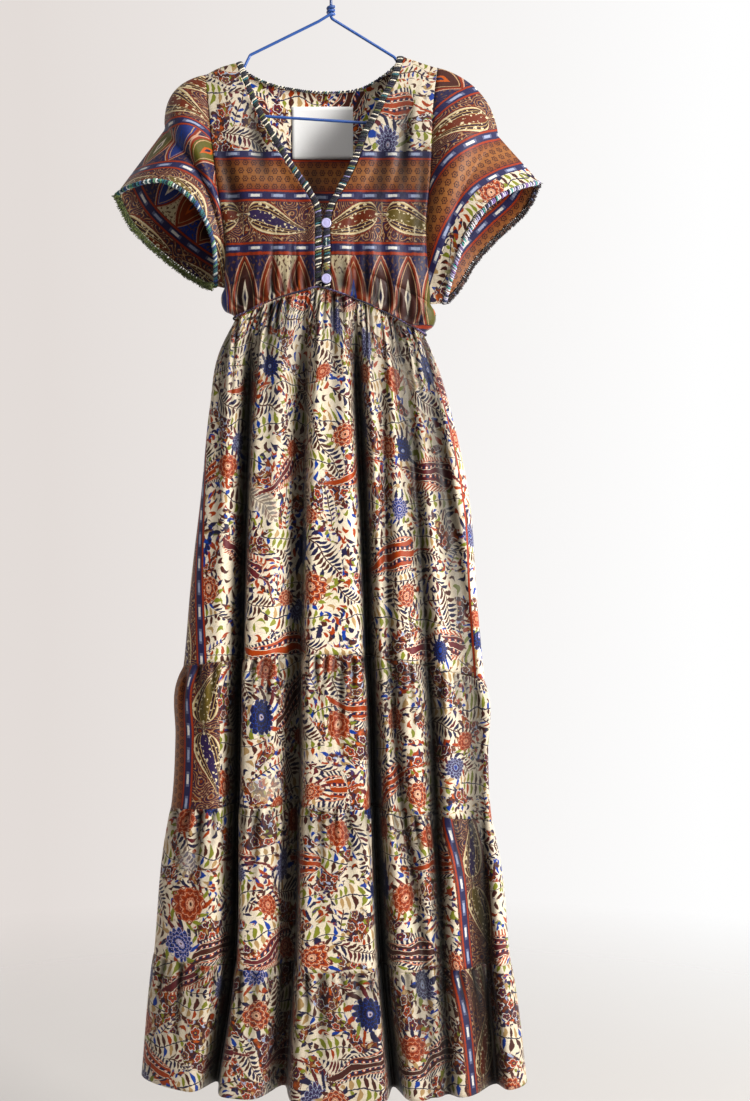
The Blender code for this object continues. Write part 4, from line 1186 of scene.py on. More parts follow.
def floral(net, x, y, crowd):
    """The all-over flower and leaf print at a place in the cloth; crowd is how far the dark
    thickets spread, from 0 to 1."""
    slow = net.noise(x, y, 50)
    quick = net.noise(x, y, 3.6)
    x = x + (slow[0] - 0.5) * 22 + (quick[0] - 0.5) * 1.7
    y = y + (slow[1] - 0.5) * 22 + (quick[1] - 0.5) * 1.7
    way = slow[2] * 11.0
    full = slow[0].under(0.53, 0.02)
    colour = strew(net, CREAM, x, y, way, 14.0, 1.3, 14.0, 4.6, MIXED)
    colour = strew(net, colour, x + 7.1, y + 5.7, way, 15.5, 8.8, 15.0, 5.0, BOLD, full)
    colour = strew(net, colour, x + 31.3, y + 2.2, way, 9.5, 6.5, 8.0, 3.2, COOL, full)
    colour = thicket(net, colour, x, y, slow[1], crowd)
    for f in FRONDS:
        colour = frond(net, colour, x + f.seed * 11, y + f.seed * 7, f)
    colour = paisley(net, colour, x + 40, y + 55)
    for f in (BLUISH, RUSTY):
        colour = flower(net, colour, x + f.seed * 20, y + f.seed * 9, f)
    return colour


def floret_rows(net, s, t):
    """Rows of six-petalled florets on a rusty ground."""
    centre = (s - 31).abs() * (1 / 22)
    ground = net.mix(centre * centre, "a06a42", "7c3322")
    x, y, _ = cell(net, t, s, 11.4, 10.4, 3.0)
    r, angle = polar(net, x, y)
    ring = (r - 3.1 - (angle * 6).cos() * 0.55).abs()
    return net.lay(ground, (ring.under(0.75), BROWN), (r.under(1.2), BROWN))


def scrolls(net, s, t):
    """Fine curling lines over a dark red-brown ground."""
    swirl = net.noise(s, t, 21, 0.0)
    lines = (swirl[0] * 10).fract()
    dots = net.noise(s, t, 3.4, 0.0)
    return net.lay(
        net.mix(swirl[1], "331820", "552822"),
        (lines.under(0.16, 0.05), "27244c"),
        (lines.near(0.5, 0.07, 0.06), "c39a72"),
        (lines.near(0.72, 0.07, 0.05), "85402a"),
        (dots[2].under(0.27, 0.03) * 0.8, "c9a680"),
    )


def drop_row(net, s, t):
    """Curled drops, turned to and fro, on the scrolls."""
    turn_back = (t * (1 / 188)).fract().under(0.5, 0.01) * 2.0 - 1.0
    step = t * (1 / 94)
    x = (step.fract() - 0.5) * 94 * turn_back
    y = net.math("PINGPONG", s - 66, 94.0) - 26
    inside, _ = drop_field(net, x, y, 82.0, 37.0, 10.0)
    rings = (inside * 4.2).fract()
    filling = net.pick(FILLINGS, net.chance(step.floor(), 6.0)[0])
    seeds = net.noise(x, y, 4.2)[0]
    drop = net.lay(
        net.mix(rings.near(0.4, 0.1, 0.08), "3a1c24", "d8b67c"),
        (inside.over(0.6, 0.03), filling),
        (seeds.under(0.35, 0.04), "e8d7b2"),
    )
    return net.lay(
        scrolls(net, s, t),
        (inside.over(0.0, 0.04), drop),
        (inside.abs().under(0.06, 0.04), "ead7ae"),
        (inside.near(-0.17, 0.05, 0.04), "7d3524"),
    )


def arches(net, s, t):
    """Pointed arches, each with a bud in it, on a speckled ground."""
    step = t * (1 / 37)
    x = ((step.fract() - 0.5) * 37).abs()
    y = s - 132
    rise = 1 - net.math("MULTIPLY", y, 1 / 38, clamp=True)
    fall = net.math("MULTIPLY", 192 - s, 1 / 16, clamp=True)
    gap = (1 - rise * rise) * (fall * 0.3 + 0.7) * 17.0 - x
    which = net.chance(step.floor(), 4.0)
    between = net.chance((step + 0.5).floor(), 9.0)
    specks = net.noise(s, t, 3.0, 0.0)
    bud = (y - 34).abs() * 0.3 + x
    return net.lay(
        net.pick(BETWEEN_ARCHES, between[0]),
        (specks[1].under(0.36, 0.04), "6b4a3c"),
        (gap.over(-1.5), "d2a58c"),
        (gap.over(0.0), "8e3822"),
        (gap.over(2.8), net.pick(IN_ARCHES, which[0])),
        (gap.near(5.0, 0.5), "c9a27c"),
        (bud.under(4.4), net.pick(BUDS, which[1])),
        (bud.under(2.0), NAVY),
    )


def border(net, s, t):
    """The woven-in border, s across and t along: florets, drops and arches between stripes
    with pale dashes."""
    quick = net.noise(s, t, 3.0)
    s = s + (quick[0] - 0.5) * 0.8
    t = t + (quick[1] - 0.5) * 0.8
    off = net.least(net.least((s - 4).abs(), (s - 58).abs()), (s - 125).abs())
    off = net.least(off, (s - 196).abs())
    step = t * (1 / 31)
    dash = (step.fract() - 0.5).abs() * 31
    light = (step.floor() * 0.5).fract().under(0.2, 0.01)
    return net.lay(
        floret_rows(net, s, t),
        (s.over(63.0), drop_row(net, s, t)),
        (s.over(130.0) * s.under(192.0), arches(net, s, t)),
        (off.under(8.2), "3b2233"),
        (off.near(6.2, 1.3), "a44430"),
        (off.under(4.3), "2c2a52"),
        (off.under(2.3) * dash.under(9.6), "6b6f8e"),
        (off.under(1.7) * dash.under(6.2), net.mix(light, WHITE, PALE_BLUE)),
    )


def group(name, inputs, make):
    """A node group that reads numbers and gives a colour."""
    tree = bpy.data.node_groups.new(name, "ShaderNodeTree")
    for label in inputs:
        tree.interface.new_socket(label, in_out="INPUT", socket_type="NodeSocketFloat")
    tree.interface.new_socket("colour", in_out="OUTPUT", socket_type="NodeSocketColor")
    net = Net(tree)
    source = tree.nodes.new("NodeGroupInput")
    end = tree.nodes.new("NodeGroupOutput")
    net.put(end.inputs[0], make(net, *(Value(net, s) for s in source.outputs[: len(inputs)])))
    return tree


FLORAL = group("floral_print", ("x", "y", "crowd"), floral)
BORDER = group("border_print", ("s", "t"), border)


# Materials


def blank_material(name):
    made = bpy.data.materials.new(name)
    made.use_nodes = True
    net = Net(made.node_tree)
    return made, net, made.node_tree.nodes["Principled BSDF"]


def finish(net, shader, colour, value, rough, height, strength, distance):
    """Links the colour, its lightness, the roughness and the bumps; gives the colour's node."""
    shade = net.node("HueSaturation", {"Color": colour, "Value": value})
    bump = net.node("Bump", {"Strength": strength, "Distance": distance, "Height": height})
    net.put(shader.inputs["Base Color"], shade.outputs[0])
    net.put(shader.inputs["Roughness"], rough)
    net.put(shader.inputs["Normal"], bump.outputs[0])
    return shade


def cloth_place(net):
    """Where in its cloth each point of a piece lies, across and along, in metres."""
    return net.split(net.node("UVMap", uv_map="cloth").outputs[0])[:2]


def object_place(net):
    return net.split(net.node("TexCoord").outputs["Object"])


Strip = namedtuple("Strip", "start first last lean level", defaults=(0, 0))


def cloth_material(name, offset, strips=(), sideways=True, painted_light=1.0, crowd=0.4):
    """Printed cloth, with its print moved by an offset. Each strip of border starts at a
    place across, or up where it isn't sideways, and shows the border from its first to its
    last line; one that leans is there at its level and further to the left above it. The
    whole cloth is painted lighter or darker by one number, in place of the light and shade
    on it, and crowd is how far the print's dark thickets spread."""
    made, net, shader = blank_material(name)
    x, y = (part * 1000 for part in cloth_place(net))
    feed = {0: x + offset[0], 1: y + offset[1], 2: crowd}
    colour = net.node("Group", feed, node_tree=FLORAL).outputs[0]
    if strips:
        across, run = (x, y) if sideways else (y, x)
        place, shown = None, None
        for strip in strips:
            s = across - (strip.start - strip.first)
            if strip.lean:
                s = s + (strip.level - run) * strip.lean
            mask = s.under(strip.last, 0.4) * s.over(strip.first, 0.4)
            if place is None:
                place, shown = s, mask
            else:
                place = place + (s - place) * net.math("GREATER_THAN", mask, 0.5)
                shown = net.most(shown, mask)
        edges = net.node("Group", {0: place, 1: run + offset[1]}, node_tree=BORDER)
        colour = net.mix(shown, colour, edges.outputs[0])
    worn = net.noise(x, y, 1.4, 2.0)
    thread = net.noise(x, y * 0.2, 0.9, 1.0)
    crumple = net.noise(x, y, 7.5, 2.0)
    weave = (x * 7.0).sin() * (y * 7.0).sin()
    # Painted shade: the colour is darkened down in folds, gathers and creases by the amount stored
    # on each point, and the whole cloth is painted lighter or darker by one number
    shade_node = net.node("Attribute", attribute_name="painted_shade")
    lit = 1 - Value(net, shade_node.outputs["Fac"]) * 0.86
    value = 0.92 + (worn[0] - 0.5) * 0.5 + (thread[1] - 0.5) * 0.25
    rough = 0.5 + (worn[1] - 0.5) * 0.3
    height = crumple[0] * 0.7 + thread[0] * 0.12 + weave * 0.03
    shade = finish(net, shader, colour, value * painted_light * lit * lit, rough, height, 0.55, 0.0011)
    shade.inputs["Saturation"].default_value = 1.08
    shader.inputs["Specular IOR Level"].default_value = 0.28
    shader.inputs["Sheen Weight"].default_value = 0.1
    shader.inputs["Sheen Roughness"].default_value = 0.4
    return made


def yarn_material(name, palette, rough=0.85):
    """Mixed yarn: each stitch takes its own colour, with the twist of its plies in its bumps and
    as painted shade along it.
    """
    made, net, shader = blank_material(name)
    number, run = cloth_place(net)
    picked = net.chance(number.floor(), 3.0)
    ply = (run * 1000 * 3.3).sin()
    # Each stitch's colour is random in lightness, and the twist makes it lighter and darker along
    # the yarn: painted shade between the plies
    value = 0.8 + picked[0] * 0.35 + ply * 0.12
    rough = picked[1] * 0.15 + rough - 0.1
    finish(net, shader, net.pick(palette, picked[3]), value, rough, ply, 0.6, 0.0004)
    shader.inputs["Sheen Weight"].default_value = 0.2
    return made


def plain_material(name, colour, rough, spread=0.06, size=1.5, coat=0.0, bumped=0.0002):
    """A finish of one colour with small stains and grain, placed by the object's own frame."""
    made, net, shader = blank_material(name)
    source = net.node("TexCoord")
    feed = {"Vector": source.outputs["Object"], "Scale": 1000 / size, "Detail": 3.0}
    grain = Value(net, net.node("TexNoise", feed).outputs[0])
    value = 1.0 + (grain - 0.5) * spread * 4
    rough = rough + (grain - 0.5) * 0.2
    shade = finish(net, shader, colour, value, rough, grain, 0.4, bumped)
    shader.inputs["Coat Weight"].default_value = coat
    return made, net, shade


def place(piece, node, slot):
    """The piece rides on the only body and stands for a node, which it hides; the slot is not
    used.
    """
    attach(piece, "root")
    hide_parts(node)
    return piece


# Making the skirt

# How far each panel's print is moved, and its strips of border: where across each starts,
# and the first and last line of the border that it shows
PANELS = {
    "tier_1_front": ((0, 0), Strip(-189, 76, 133, 0.15, 923), Strip(165, 129.5, 133)),
    "tier_2_front": ((160, 35), Strip(-202, 18, 104)),
    "tier_3_front": ((315, 400), Strip(158, 48, 112)),
    "tier_4_front": ((95, 710), Strip(164, 48, 112)),
    "tier_1_back": ((520, 88), Strip(-200, 10, 130)),
    "tier_2_back": ((705, 190), Strip(96, 10, 112)),
    "tier_3_back": ((850, 333), Strip(-190, 20, 118)),
    "tier_4_back": ((1010, 555), Strip(30, 16, 104)),
}
# How light each tier's cloth is painted, lighter at the top and darker toward the hem in
# place of light and shade, and how far its dark thickets spread
TIER_PAINTED_LIGHT = ((1.16, 0.4), (1.0, 0.47), (0.98, 0.48), (0.8, 0.54))


def skirt_look(name, number, outer, uv):
    """The cloth of a tier, with its strips placed where the table says they hang."""
    shift, *table = PANELS[name]
    middle = outer.shape[0] // 2
    order = np.argsort(outer[middle, :, 0])
    strips = []
    for strip in table:
        start = np.interp(strip.start * MM, outer[middle, order, 0], uv[middle, order, 0])
        strips.append(strip._replace(start=float(start) * 1000))
    painted_light, crowd = TIER_PAINTED_LIGHT[number]
    return cloth_material("print_" + name, shift, strips, painted_light=painted_light, crowd=crowd)


for number in range(TIERS):
    for front in (True, False):
        piece, node, cut = tier(number, front)
        place(piece, node, "print_skirt")

# Making the bodice

# The border starts this far below the hook; the gathers pull its arches longer
FRONT_BORDER, BACK_BORDER = (Strip(262, 0, 400),), (Strip(244, 0, 400),)
ARCHES_FROM, ARCH_STRETCH = 392 * MM, 0.36
ACROSS_STRETCH = 1.06
# How light the bodice's cloth is painted in place of light and shade: the front darker, and the
# back, seen inside through the neck in shade, lighter
FRONT_PAINTED_LIGHT, BACK_PAINTED_LIGHT = 0.72, 1.25
BODICE_CROWD = 0.43


def bodice_uv(surface):
    down = -surface[:, :, 2]
    along_it = down - np.maximum(down - ARCHES_FROM, 0) * ARCH_STRETCH
    return np.stack([surface[:, :, 0] * ACROSS_STRETCH, along_it], axis=-1)


fronts = [front_panel(0), front_panel(1)]
back = back_panel()
for name, (surface, inward, shade_amounts), flip, shift, cut, area in (
    ("bodice_front_left", fronts[0], False, (33, 24), (0.2, 0.36), 0.036),
    ("bodice_front_right", fronts[1], True, (421, 24), (0.2, 0.36), 0.04),
    ("bodice_back", back, True, (777, 31), (0.34, 0.34), 0.098),
):
    behind = name == "bodice_back"
    strips, painted_light = (BACK_BORDER, BACK_PAINTED_LIGHT) if behind else (FRONT_BORDER, FRONT_PAINTED_LIGHT)
    look = cloth_material("print_" + name, shift, strips, False, painted_light, BODICE_CROWD)
    piece = shell(name + "_cloth", surface, inward * WALL, bodice_uv(surface), look, flip=flip)
    painted_shade(piece, shade_amounts)
    place(piece, name, "print_bodice")

# Making the sleeves

# Where the border starts above the hem of each sleeve and its first line there, and how
# much nearer the border comes to the hem at the back
SLEEVE_STRIPS = (Strip(0, 96, 400), Strip(21, 0, 400))
SLEEVE_BACK_START = (0, 58)
# The sleeves' cloth is painted a little darker, in place of shade
SLEEVE_PAINTED_LIGHT = 0.82
SLEEVE_CUT, SLEEVE_AREAS = (0.5, 0.17), (0.047, 0.057)

sleeves = [sleeve_grid(side) for side in range(2)]
for side, name in enumerate(("sleeve_left", "sleeve_right")):
    surface, inward, around = sleeves[side]
    climb = np.linalg.norm(np.diff(surface[::-1], axis=0), axis=2)
    climb = np.vstack([np.zeros(climb.shape[1]), np.cumsum(climb, axis=0)])[::-1]
    hem = np.concatenate([surface[-1], surface[-1, :1]])
    run = np.broadcast_to(lengths(hem), (len(surface), len(hem)))
    uv = np.stack([run, np.concatenate([climb, climb[:, :1]], axis=1)], axis=-1)
    behind = np.append(np.clip(3 * np.sin(around), 0, 1), 0)
    uv[:, :, 1] += SLEEVE_BACK_START[side] * MM * behind
    shift = (60 + 300 * side, 15 + 40 * side)
    look = cloth_material("print_" + name, shift, (SLEEVE_STRIPS[side],), False, SLEEVE_PAINTED_LIGHT)
    piece = shell(name + "_cloth", surface, inward * WALL, uv, look, closed=True, flip=side == 0)
    place(piece, name, "print_sleeve")
    area = SLEEVE_AREAS[side]

# Making the edgings

# Each yarn's roughness, and its colours with the share of each
YARNS = {
    "neck": (0.85, (
        (6, "15162a"), (3, "1d2b26"), (2, "2b2146"), (5.5, "e9dfc9"), (1.0, "6e7336"),
        (0.8, "2d6f78"), (0.8, "8f86b4"),
    )),
    "core": (0.85, ((3, "14131f"), (1, "2c1b22"))),
    "green": (0.95, ((5, "72803a"), (3, "566230"), (3, "8f9c58"), (1, "343b22"))),
    "teal": (0.85, (
        (4, "2f6f78"), (3, "2b4a86"), (3, "d5dad6"), (2, "22324a"), (2, "5f8f6a"),
    )),
    "white": (0.85, (
        (5, "e8e6ea"), (3, "b9b3d6"), (2, "4fa39b"), (2, "27304f"), (1.4, "7c5f98"),
    )),
    "dark": (0.95, ((4, "2f1a18"), (3, "1b1720"), (3, "563a30"), (1, "5b5f7c"))),
    "waist": (0.85, ((4, "3c1a2a"), (4, "1c1b38"), (2, "8a4230"), (1.4, "5f4f7a"))),
    "spot": (0.85, ((4, "141a3a"), (2, "1f5a5c"), (2, "dfe4dc"), (1, "12141f"))),
    "leaf": (0.85, ((4, "7c8238"), (2, "c9c08a"), (2, "1c2430"), (1, "8a5a30"))),
}
yarn = {
    key: yarn_material("yarn_" + key, colours, rough) for key, (rough, colours) in YARNS.items()
}

# Stitches whipped round a band: the size of the band under them, how far apart they are,
# how far each slants along the band, the yarn's thickness, and the half turns between
# which each runs
Stitch = namedtuple("Stitch", "width thickness pitch slant yarn turns")
NECK_STITCH = Stitch(
    NECK_BAND_WIDTH - 1.6 * MM, NECK_BAND_THICKNESS - 0.9 * MM,
    3.1 * MM, 4.2 * MM, 1.75 * MM, (-0.25, 1.25),
)
BACK_STITCH = Stitch(
    BACK_BAND_WIDTH - 1.6 * MM, BACK_BAND_THICKNESS - 1.4 * MM,
    2.5 * MM, 3.6 * MM, 1.7 * MM, (-0.5, 1.5),
)
SLEEVE_STITCH = Stitch(
    SLEEVE_BAND - 0.4 * MM, SLEEVE_BAND - 1.6 * MM,
    2.8 * MM, 4.4 * MM, 2.4 * MM, (-0.6, 1.4),
)
STITCH_POINTS = 9
STITCH_SIDES = 5


def edge_frame(edge, inward, toward):
    """Where a band beside a panel's edge lies: which way is across it and which is out."""
    run = unit(np.gradient(edge, axis=0))
    across = unit(np.cross(run, inward))
    across = across * np.sign(np.sum(across * toward, axis=1))[:, None]
    return across, unit(-inward)


def at_lengths(done, place, *arrays):
    """Each array read at a place along its line."""
    return [np.array([np.interp(place, done, column) for column in a.T]) for a in arrays]


def whip(pile, centre, across, out, stitch, way=1, switch=2.0):
    """Uneven stitches round a band, which take the second look from a part of its length."""
    done = lengths(centre)
    places = np.arange(stitch.pitch / 2, done[-1] - stitch.pitch / 3, stitch.pitch)
    rng = np.random.default_rng(len(places))
    first, last = (turn * math.pi for turn in stitch.turns)
    for number, start in enumerate(places):
        line = []
        loose = 1 + 0.1 * rng.standard_normal()
        start = start + stitch.pitch * 0.16 * rng.standard_normal()
        for part in np.linspace(0, 1, STITCH_POINTS):
            angle = first + (last - first) * part
            spot = np.clip(start + stitch.slant * way * (part - 0.5), 0, done[-1])
            c, a, o = at_lengths(done, spot, centre, across, out)
            c = c + a * math.cos(angle) * stitch.width / 2 * loose
            line.append(c + o * math.sin(angle) * stitch.thickness / 2 * loose)
        thick = stitch.yarn * (1 + 0.12 * rng.standard_normal())
        look = int(start / done[-1] >= switch)
        pile.tube(np.array(line), out[0], thick, number * 7 + 3, look, STITCH_SIDES)


# Neck edgings: a dark core with stitches whipped over it
CORE_STEPS = 120
CORE_INSET, CORE_THINNER = 2.2 * MM, 1.4 * MM
for name, (surface, inward, _), way in (
    ("neck_edging_left", fronts[0], 1),
    ("neck_edging_right", fronts[1], -1),
):
    edge = surface[:, -1].copy()
    edge[-1, 2] += BAND_ABOVE_WAIST
    across, out = edge_frame(edge, inward[:, -1], np.array((way, 0, 0.2)))
    across[0], out[0] = (way, 0, 0), (0, 0, 1)
    centre = edge + across * (NECK_BAND_WIDTH / 2 + EDGE_GAP) - out * WALL / 2
    done = lengths(centre)
    read = [at_lengths(done, s, centre, across, out) for s in np.linspace(0, done[-1], CORE_STEPS)]
    line, turn_a, turn_o = (np.array([r[i] for r in read]) for i in range(3))
    wide, thick = NECK_BAND_WIDTH - CORE_INSET, NECK_BAND_THICKNESS - CORE_THINNER
    pile = Pile()
    points, faces = tube_parts(line, unit(turn_a), unit(turn_o), wide, thick)
    spots = np.stack([np.full(faces.shape, 1.5), lengths(line)[faces // TUBE_SIDES]], axis=-1)
    pile.take(points, (faces,), spots, 1)
    whip(pile, centre, across, out, NECK_STITCH, way)
    piece = pile.build(name + "_yarn", [yarn["neck"], yarn["core"]])
    place(piece, name, "yarn_neck")

surface, inward, _ = back
neck = slice(BACK_SHOULDER_COLUMNS, BACK_SHOULDER_COLUMNS + BACK_NECK_COLUMNS + 1)
edge = surface[0, neck]
across, out = edge_frame(edge, inward[0, neck], np.array((0, 0, 1)))
across[0], across[-1] = (1, 0, 0), (-1, 0, 0)
out[0] = out[-1] = (0, 0, 1)
centre = edge + across * (BACK_BAND_WIDTH / 2 + EDGE_GAP) - out * WALL / 2
pile = Pile()
whip(pile, centre, across, out, BACK_STITCH)
place(pile.build("neck_edging_back_yarn", [yarn["neck"]]), "neck_edging_back", "yarn_neck")

# Sleeve edgings: stitches all round, in one yarn in front and another behind, where loose
# hairs stand out of them
SLEEVE_YARNS = ((yarn["teal"], yarn["green"]), (yarn["white"], yarn["dark"]))
SLEEVE_HAIRS = (2000, 1100)
HAIR_LENGTHS = ((3.5, 8.0), (2.6, 5.6))
HAIR = 0.75 * MM
HAIR_ROOT = 1.2
HAIR_BOW = 1.6
for side, name in enumerate(("sleeve_edging_left", "sleeve_edging_right")):
    surface, inward, _ = sleeves[side]
    down = unit(surface[-1] - surface[-2])
    centre = surface[-1] + inward[-1] * WALL / 2 + down * (SLEEVE_BAND / 2 + EDGE_GAP)
    centre = np.concatenate([centre, centre[:1]])
    down = np.concatenate([down, down[:1]])
    out = np.concatenate([-inward[-1], -inward[-1, :1]])
    done = lengths(centre)
    tip = done[SLEEVE_COLUMNS] / done[-1]
    pile = Pile()
    whip(pile, centre, down, out, SLEEVE_STITCH, switch=tip)
    rng = np.random.default_rng(5 + side)
    for number in range(SLEEVE_HAIRS[side]):
        part = tip + (1 - tip) * rng.random()
        c, a, o = at_lengths(done, part * done[-1], centre, down, out)
        run = np.cross(a, o)
        angle = rng.uniform(-1.0, 1.0)
        ray = unit(a * math.cos(angle) + o * math.sin(angle) + run * rng.uniform(-0.8, 0.8))
        side_ray = unit(np.cross(ray, run) + 0.3 * o)
        reach = rng.uniform(*HAIR_LENGTHS[side]) * MM
        bow = rng.uniform(-HAIR_BOW, HAIR_BOW) * MM
        root, bent = c + ray * HAIR_ROOT * MM, c + ray * reach * 0.75 + side_ray * bow
        pile.tube(np.array([root, bent, c + ray * reach]), o, HAIR, 9000 + number * 5, 1, 3)
    piece = pile.build(name + "_yarn", list(SLEEVE_YARNS[side]))
    place(piece, name, "yarn_sleeve")

# Waist cord: two plies twisted together round the waist seam
PLY, PLY_OFFSET, PLY_PITCH = 1.5 * MM, 0.72 * MM, 5.2 * MM
CORD_POINTS = 500
# Each short length of a ply takes its own colour, and runs a little into the next
PLY_LENGTH, PLY_OVERLAP = 22, 2
rows = []
for front in (True, False):
    point, turned_out, q, _, _ = section(0.0, np.linspace(0, 1, CORD_POINTS), front)
    point = point + turned_out * (CORD / 2 + CORD_CLEARANCE)
    row = np.column_stack([point, seam_height(SEAMS[0], q, front)])
    turned_out = np.column_stack([turned_out, np.zeros(len(turned_out))])
    rows.append((row, turned_out) if front else (row[::-1], turned_out[::-1]))
centre = np.concatenate([row[:-1] for row, _ in rows])
out = np.concatenate([turned_out[:-1] for _, turned_out in rows])
twist = 2 * math.pi * lengths(centre) / PLY_PITCH
pile = Pile()
for ply in (0, math.pi):
    lift = np.sin(twist + ply)[:, None] * np.array((0, 0, 1.0)) * PLY_OFFSET
    line = centre + lift + np.cos(twist + ply)[:, None] * out * PLY_OFFSET
    for start in range(0, len(line) - 1, PLY_LENGTH):
        part = line[start : start + PLY_LENGTH + PLY_OVERLAP]
        pile.tube(part, (0, 0, 1), PLY, start * 3 + int(ply * 50), 0, 6)
place(pile.build("waist_cord_twist", [yarn["waist"]]), "waist_cord", "yarn_waist")

# Making the buttons: two turned ones, a rim round a shallow dish, and two covered in yarn

# How far out and how far forward the turned face runs, as shares of its radius and depth
BUTTON_PROFILE = (
    (0.0, 0.0), (0.84, 0.0), (0.97, 0.16), (1.0, 0.42), (0.965, 0.68), (0.88, 0.86),
    (0.78, 0.94), (0.72, 0.9), (0.62, 0.84), (0.4, 0.93), (0.18, 0.985), (0.0, 1.0),
)
BUTTON_SIDES = 40
COVER_LOOPS = 8
COVER_YARN, COVER_INSET, COVER_THINNER = 1.9 * MM, 0.7 * MM, 0.9 * MM

lilac, _, _ = plain_material("button_lilac", "b6b1dd", 0.22, 0.03, 4, 0.5)
edge = fronts[1][0][:, -1]
for row in BUTTONS:
    seat = np.interp(-row.z * MM, -edge[:, 2], edge[:, 1])
    seat = seat + WALL / 2 - NECK_BAND_THICKNESS / 2 - BUTTON_CLEARANCE
    radius, thick = row.across * MM / 2, row.thick * MM
    middle = np.array((BUTTON_X, seat, row.z * MM))
    if row.yarn is None:
        points = np.array([
            middle + (radius * r * math.cos(a), -thick * d, radius * r * math.sin(a))
            for r, d in BUTTON_PROFILE
            for a in np.linspace(0, 2 * math.pi, BUTTON_SIDES + 1)[:-1]
        ])
        faces = grid_faces(len(BUTTON_PROFILE), BUTTON_SIDES, True)[:, ::-1]
        piece = add(row.name + "_face", points, faces, [lilac])
        place(piece, row.name, "button_lilac")
        continue
    pile = Pile()
    for number, lean in enumerate(np.linspace(0, math.pi, COVER_LOOPS + 1)[:-1]):
        angle = np.linspace(-0.08, math.pi + 0.08, 13)
        flat = np.array((math.cos(lean), 0, math.sin(lean)))
        line = middle + np.cos(angle)[:, None] * flat * (radius - COVER_INSET)
        line = line - np.sin(angle)[:, None] * np.array((0, thick - COVER_THINNER, 0))
        pile.tube(line, (0, -1, 0), COVER_YARN, number * 11 + int(-row.z), 0, 6)
    place(pile.build(row.name + "_cover", [yarn[row.yarn]]), row.name, "button_covered")

# Making the label, which follows the inside of the back and stands off a little lower down
LABEL_ROWS, LABEL_COLUMNS = 14, 20
LABEL_WALL, LABEL_WAVE, LABEL_WAVINESS = 0.6 * MM, 1.2 * MM, 95

surface, inward, _ = back
inner = surface + inward * WALL
x = np.linspace(*LABEL_X, LABEL_COLUMNS + 1)
label = []
for z in np.linspace(*LABEL_Z, LABEL_ROWS + 1):
    at_z = []
    for column in range(0, inner.shape[1], 3):
        line = inner[np.argsort(inner[:, column, 2]), column]
        at_z.append([np.interp(z, line[:, 2], line[:, k]) for k in range(2)])
    at_z = np.array(at_z)
    y = np.interp(x, at_z[:, 0], at_z[:, 1])
    label.append(np.stack([x, y, np.full(len(x), z)], axis=1))
label = np.array(label)
drop = np.linspace(0, 1, LABEL_ROWS + 1)[:, None]
label[:, :, 1] -= LABEL_CLEARANCE + LABEL_THICKNESS * 0.4
label[:, :, 1] -= LABEL_WAVE * drop * (0.5 + 0.5 * np.sin(x * LABEL_WAVINESS)[None])
label_look, _, _ = plain_material("label_cloth", "f6f6f5", 0.8, 0.03, 0.9)
through = np.zeros_like(label)
through[:, :, 1] = LABEL_WALL
piece = shell("label_patch", label, through, label[:, :, [0, 2]], label_look)
place(piece, "label", "label_cloth")
cut = (LABEL_X[1] - LABEL_X[0], LABEL_Z[0] - LABEL_Z[1])

# Making the hanger


def bend(before, corner, after):
    """Points round one bend of the wire, in place of its corner."""
    before, here, after = (np.array((c.x, c.z)) * MM for c in (before, corner, after))
    a, b = unit(before - here), unit(after - here)
    half = math.acos(np.clip(np.dot(a, b), -1, 1)) / 2
    radius = corner.radius * MM
    run = radius / math.tan(half)
    middle = here + unit(a + b) * radius / math.sin(half)
    first, last = unit(here + a * run - middle), unit(here + b * run - middle)
    steps = np.linspace(0, 1, BEND_STEPS + 1)
    return [middle + unit(first * (1 - step) + last * step) * radius for step in steps]


def wire_path():
    """The wire's centre line from the hook's tip to the end of the twist."""
    top = WIRE / 2 - HOOK_RADIUS
    path = []
    for angle in np.radians(np.linspace(HOOK_TIP_ANGLE, HOOK_STEM_ANGLE, HOOK_STEPS)):
        path.append((HOOK_RADIUS * math.cos(angle), 0, top + HOOK_RADIUS * math.sin(angle)))
    last = path[-1]
    path.append((last[0] * 0.45, 0, (last[2] + STEM_TOP) / 2))
    path.append((last[0] * 0.1, 0, STEM_TOP))
    path.append((0, 0, STEM_TOP - 8 * MM))
    stem = Corner(0, STEM_TOP / MM, 0)
    arm_end = Corner(LEFT_ARM_TOP[0], LEFT_ARM_TOP[2], 0)
    ring = (stem, *HANGER_LOOP, arm_end)
    for before, corner, after in zip(ring, ring[1:], ring[2:]):
        path += [(x, 0, z) for x, z in bend(before, corner, after)]
    path.append(tuple(value * MM for value in LEFT_ARM_TOP))
    reach = WIRE + TWIST_CLEARANCE
    for turn in np.arange(-0.25, TWIST_TURNS - 0.25 + 0.01, 1 / 16):
        angle = 2 * math.pi * turn
        z = TWIST_START + TWIST_PITCH * (turn + 0.25)
        path.append((reach * math.cos(angle), reach * math.sin(angle), z))
    return np.array(path)


BLUE, DARK_TOP_BLUE = "2f57a0", "2a3040"
# The hook and stem are darker, down to about this far below the hook's top, in metres
DARK_DOWN_TO, DARK_TOP_FADE = 0.062, 0.03

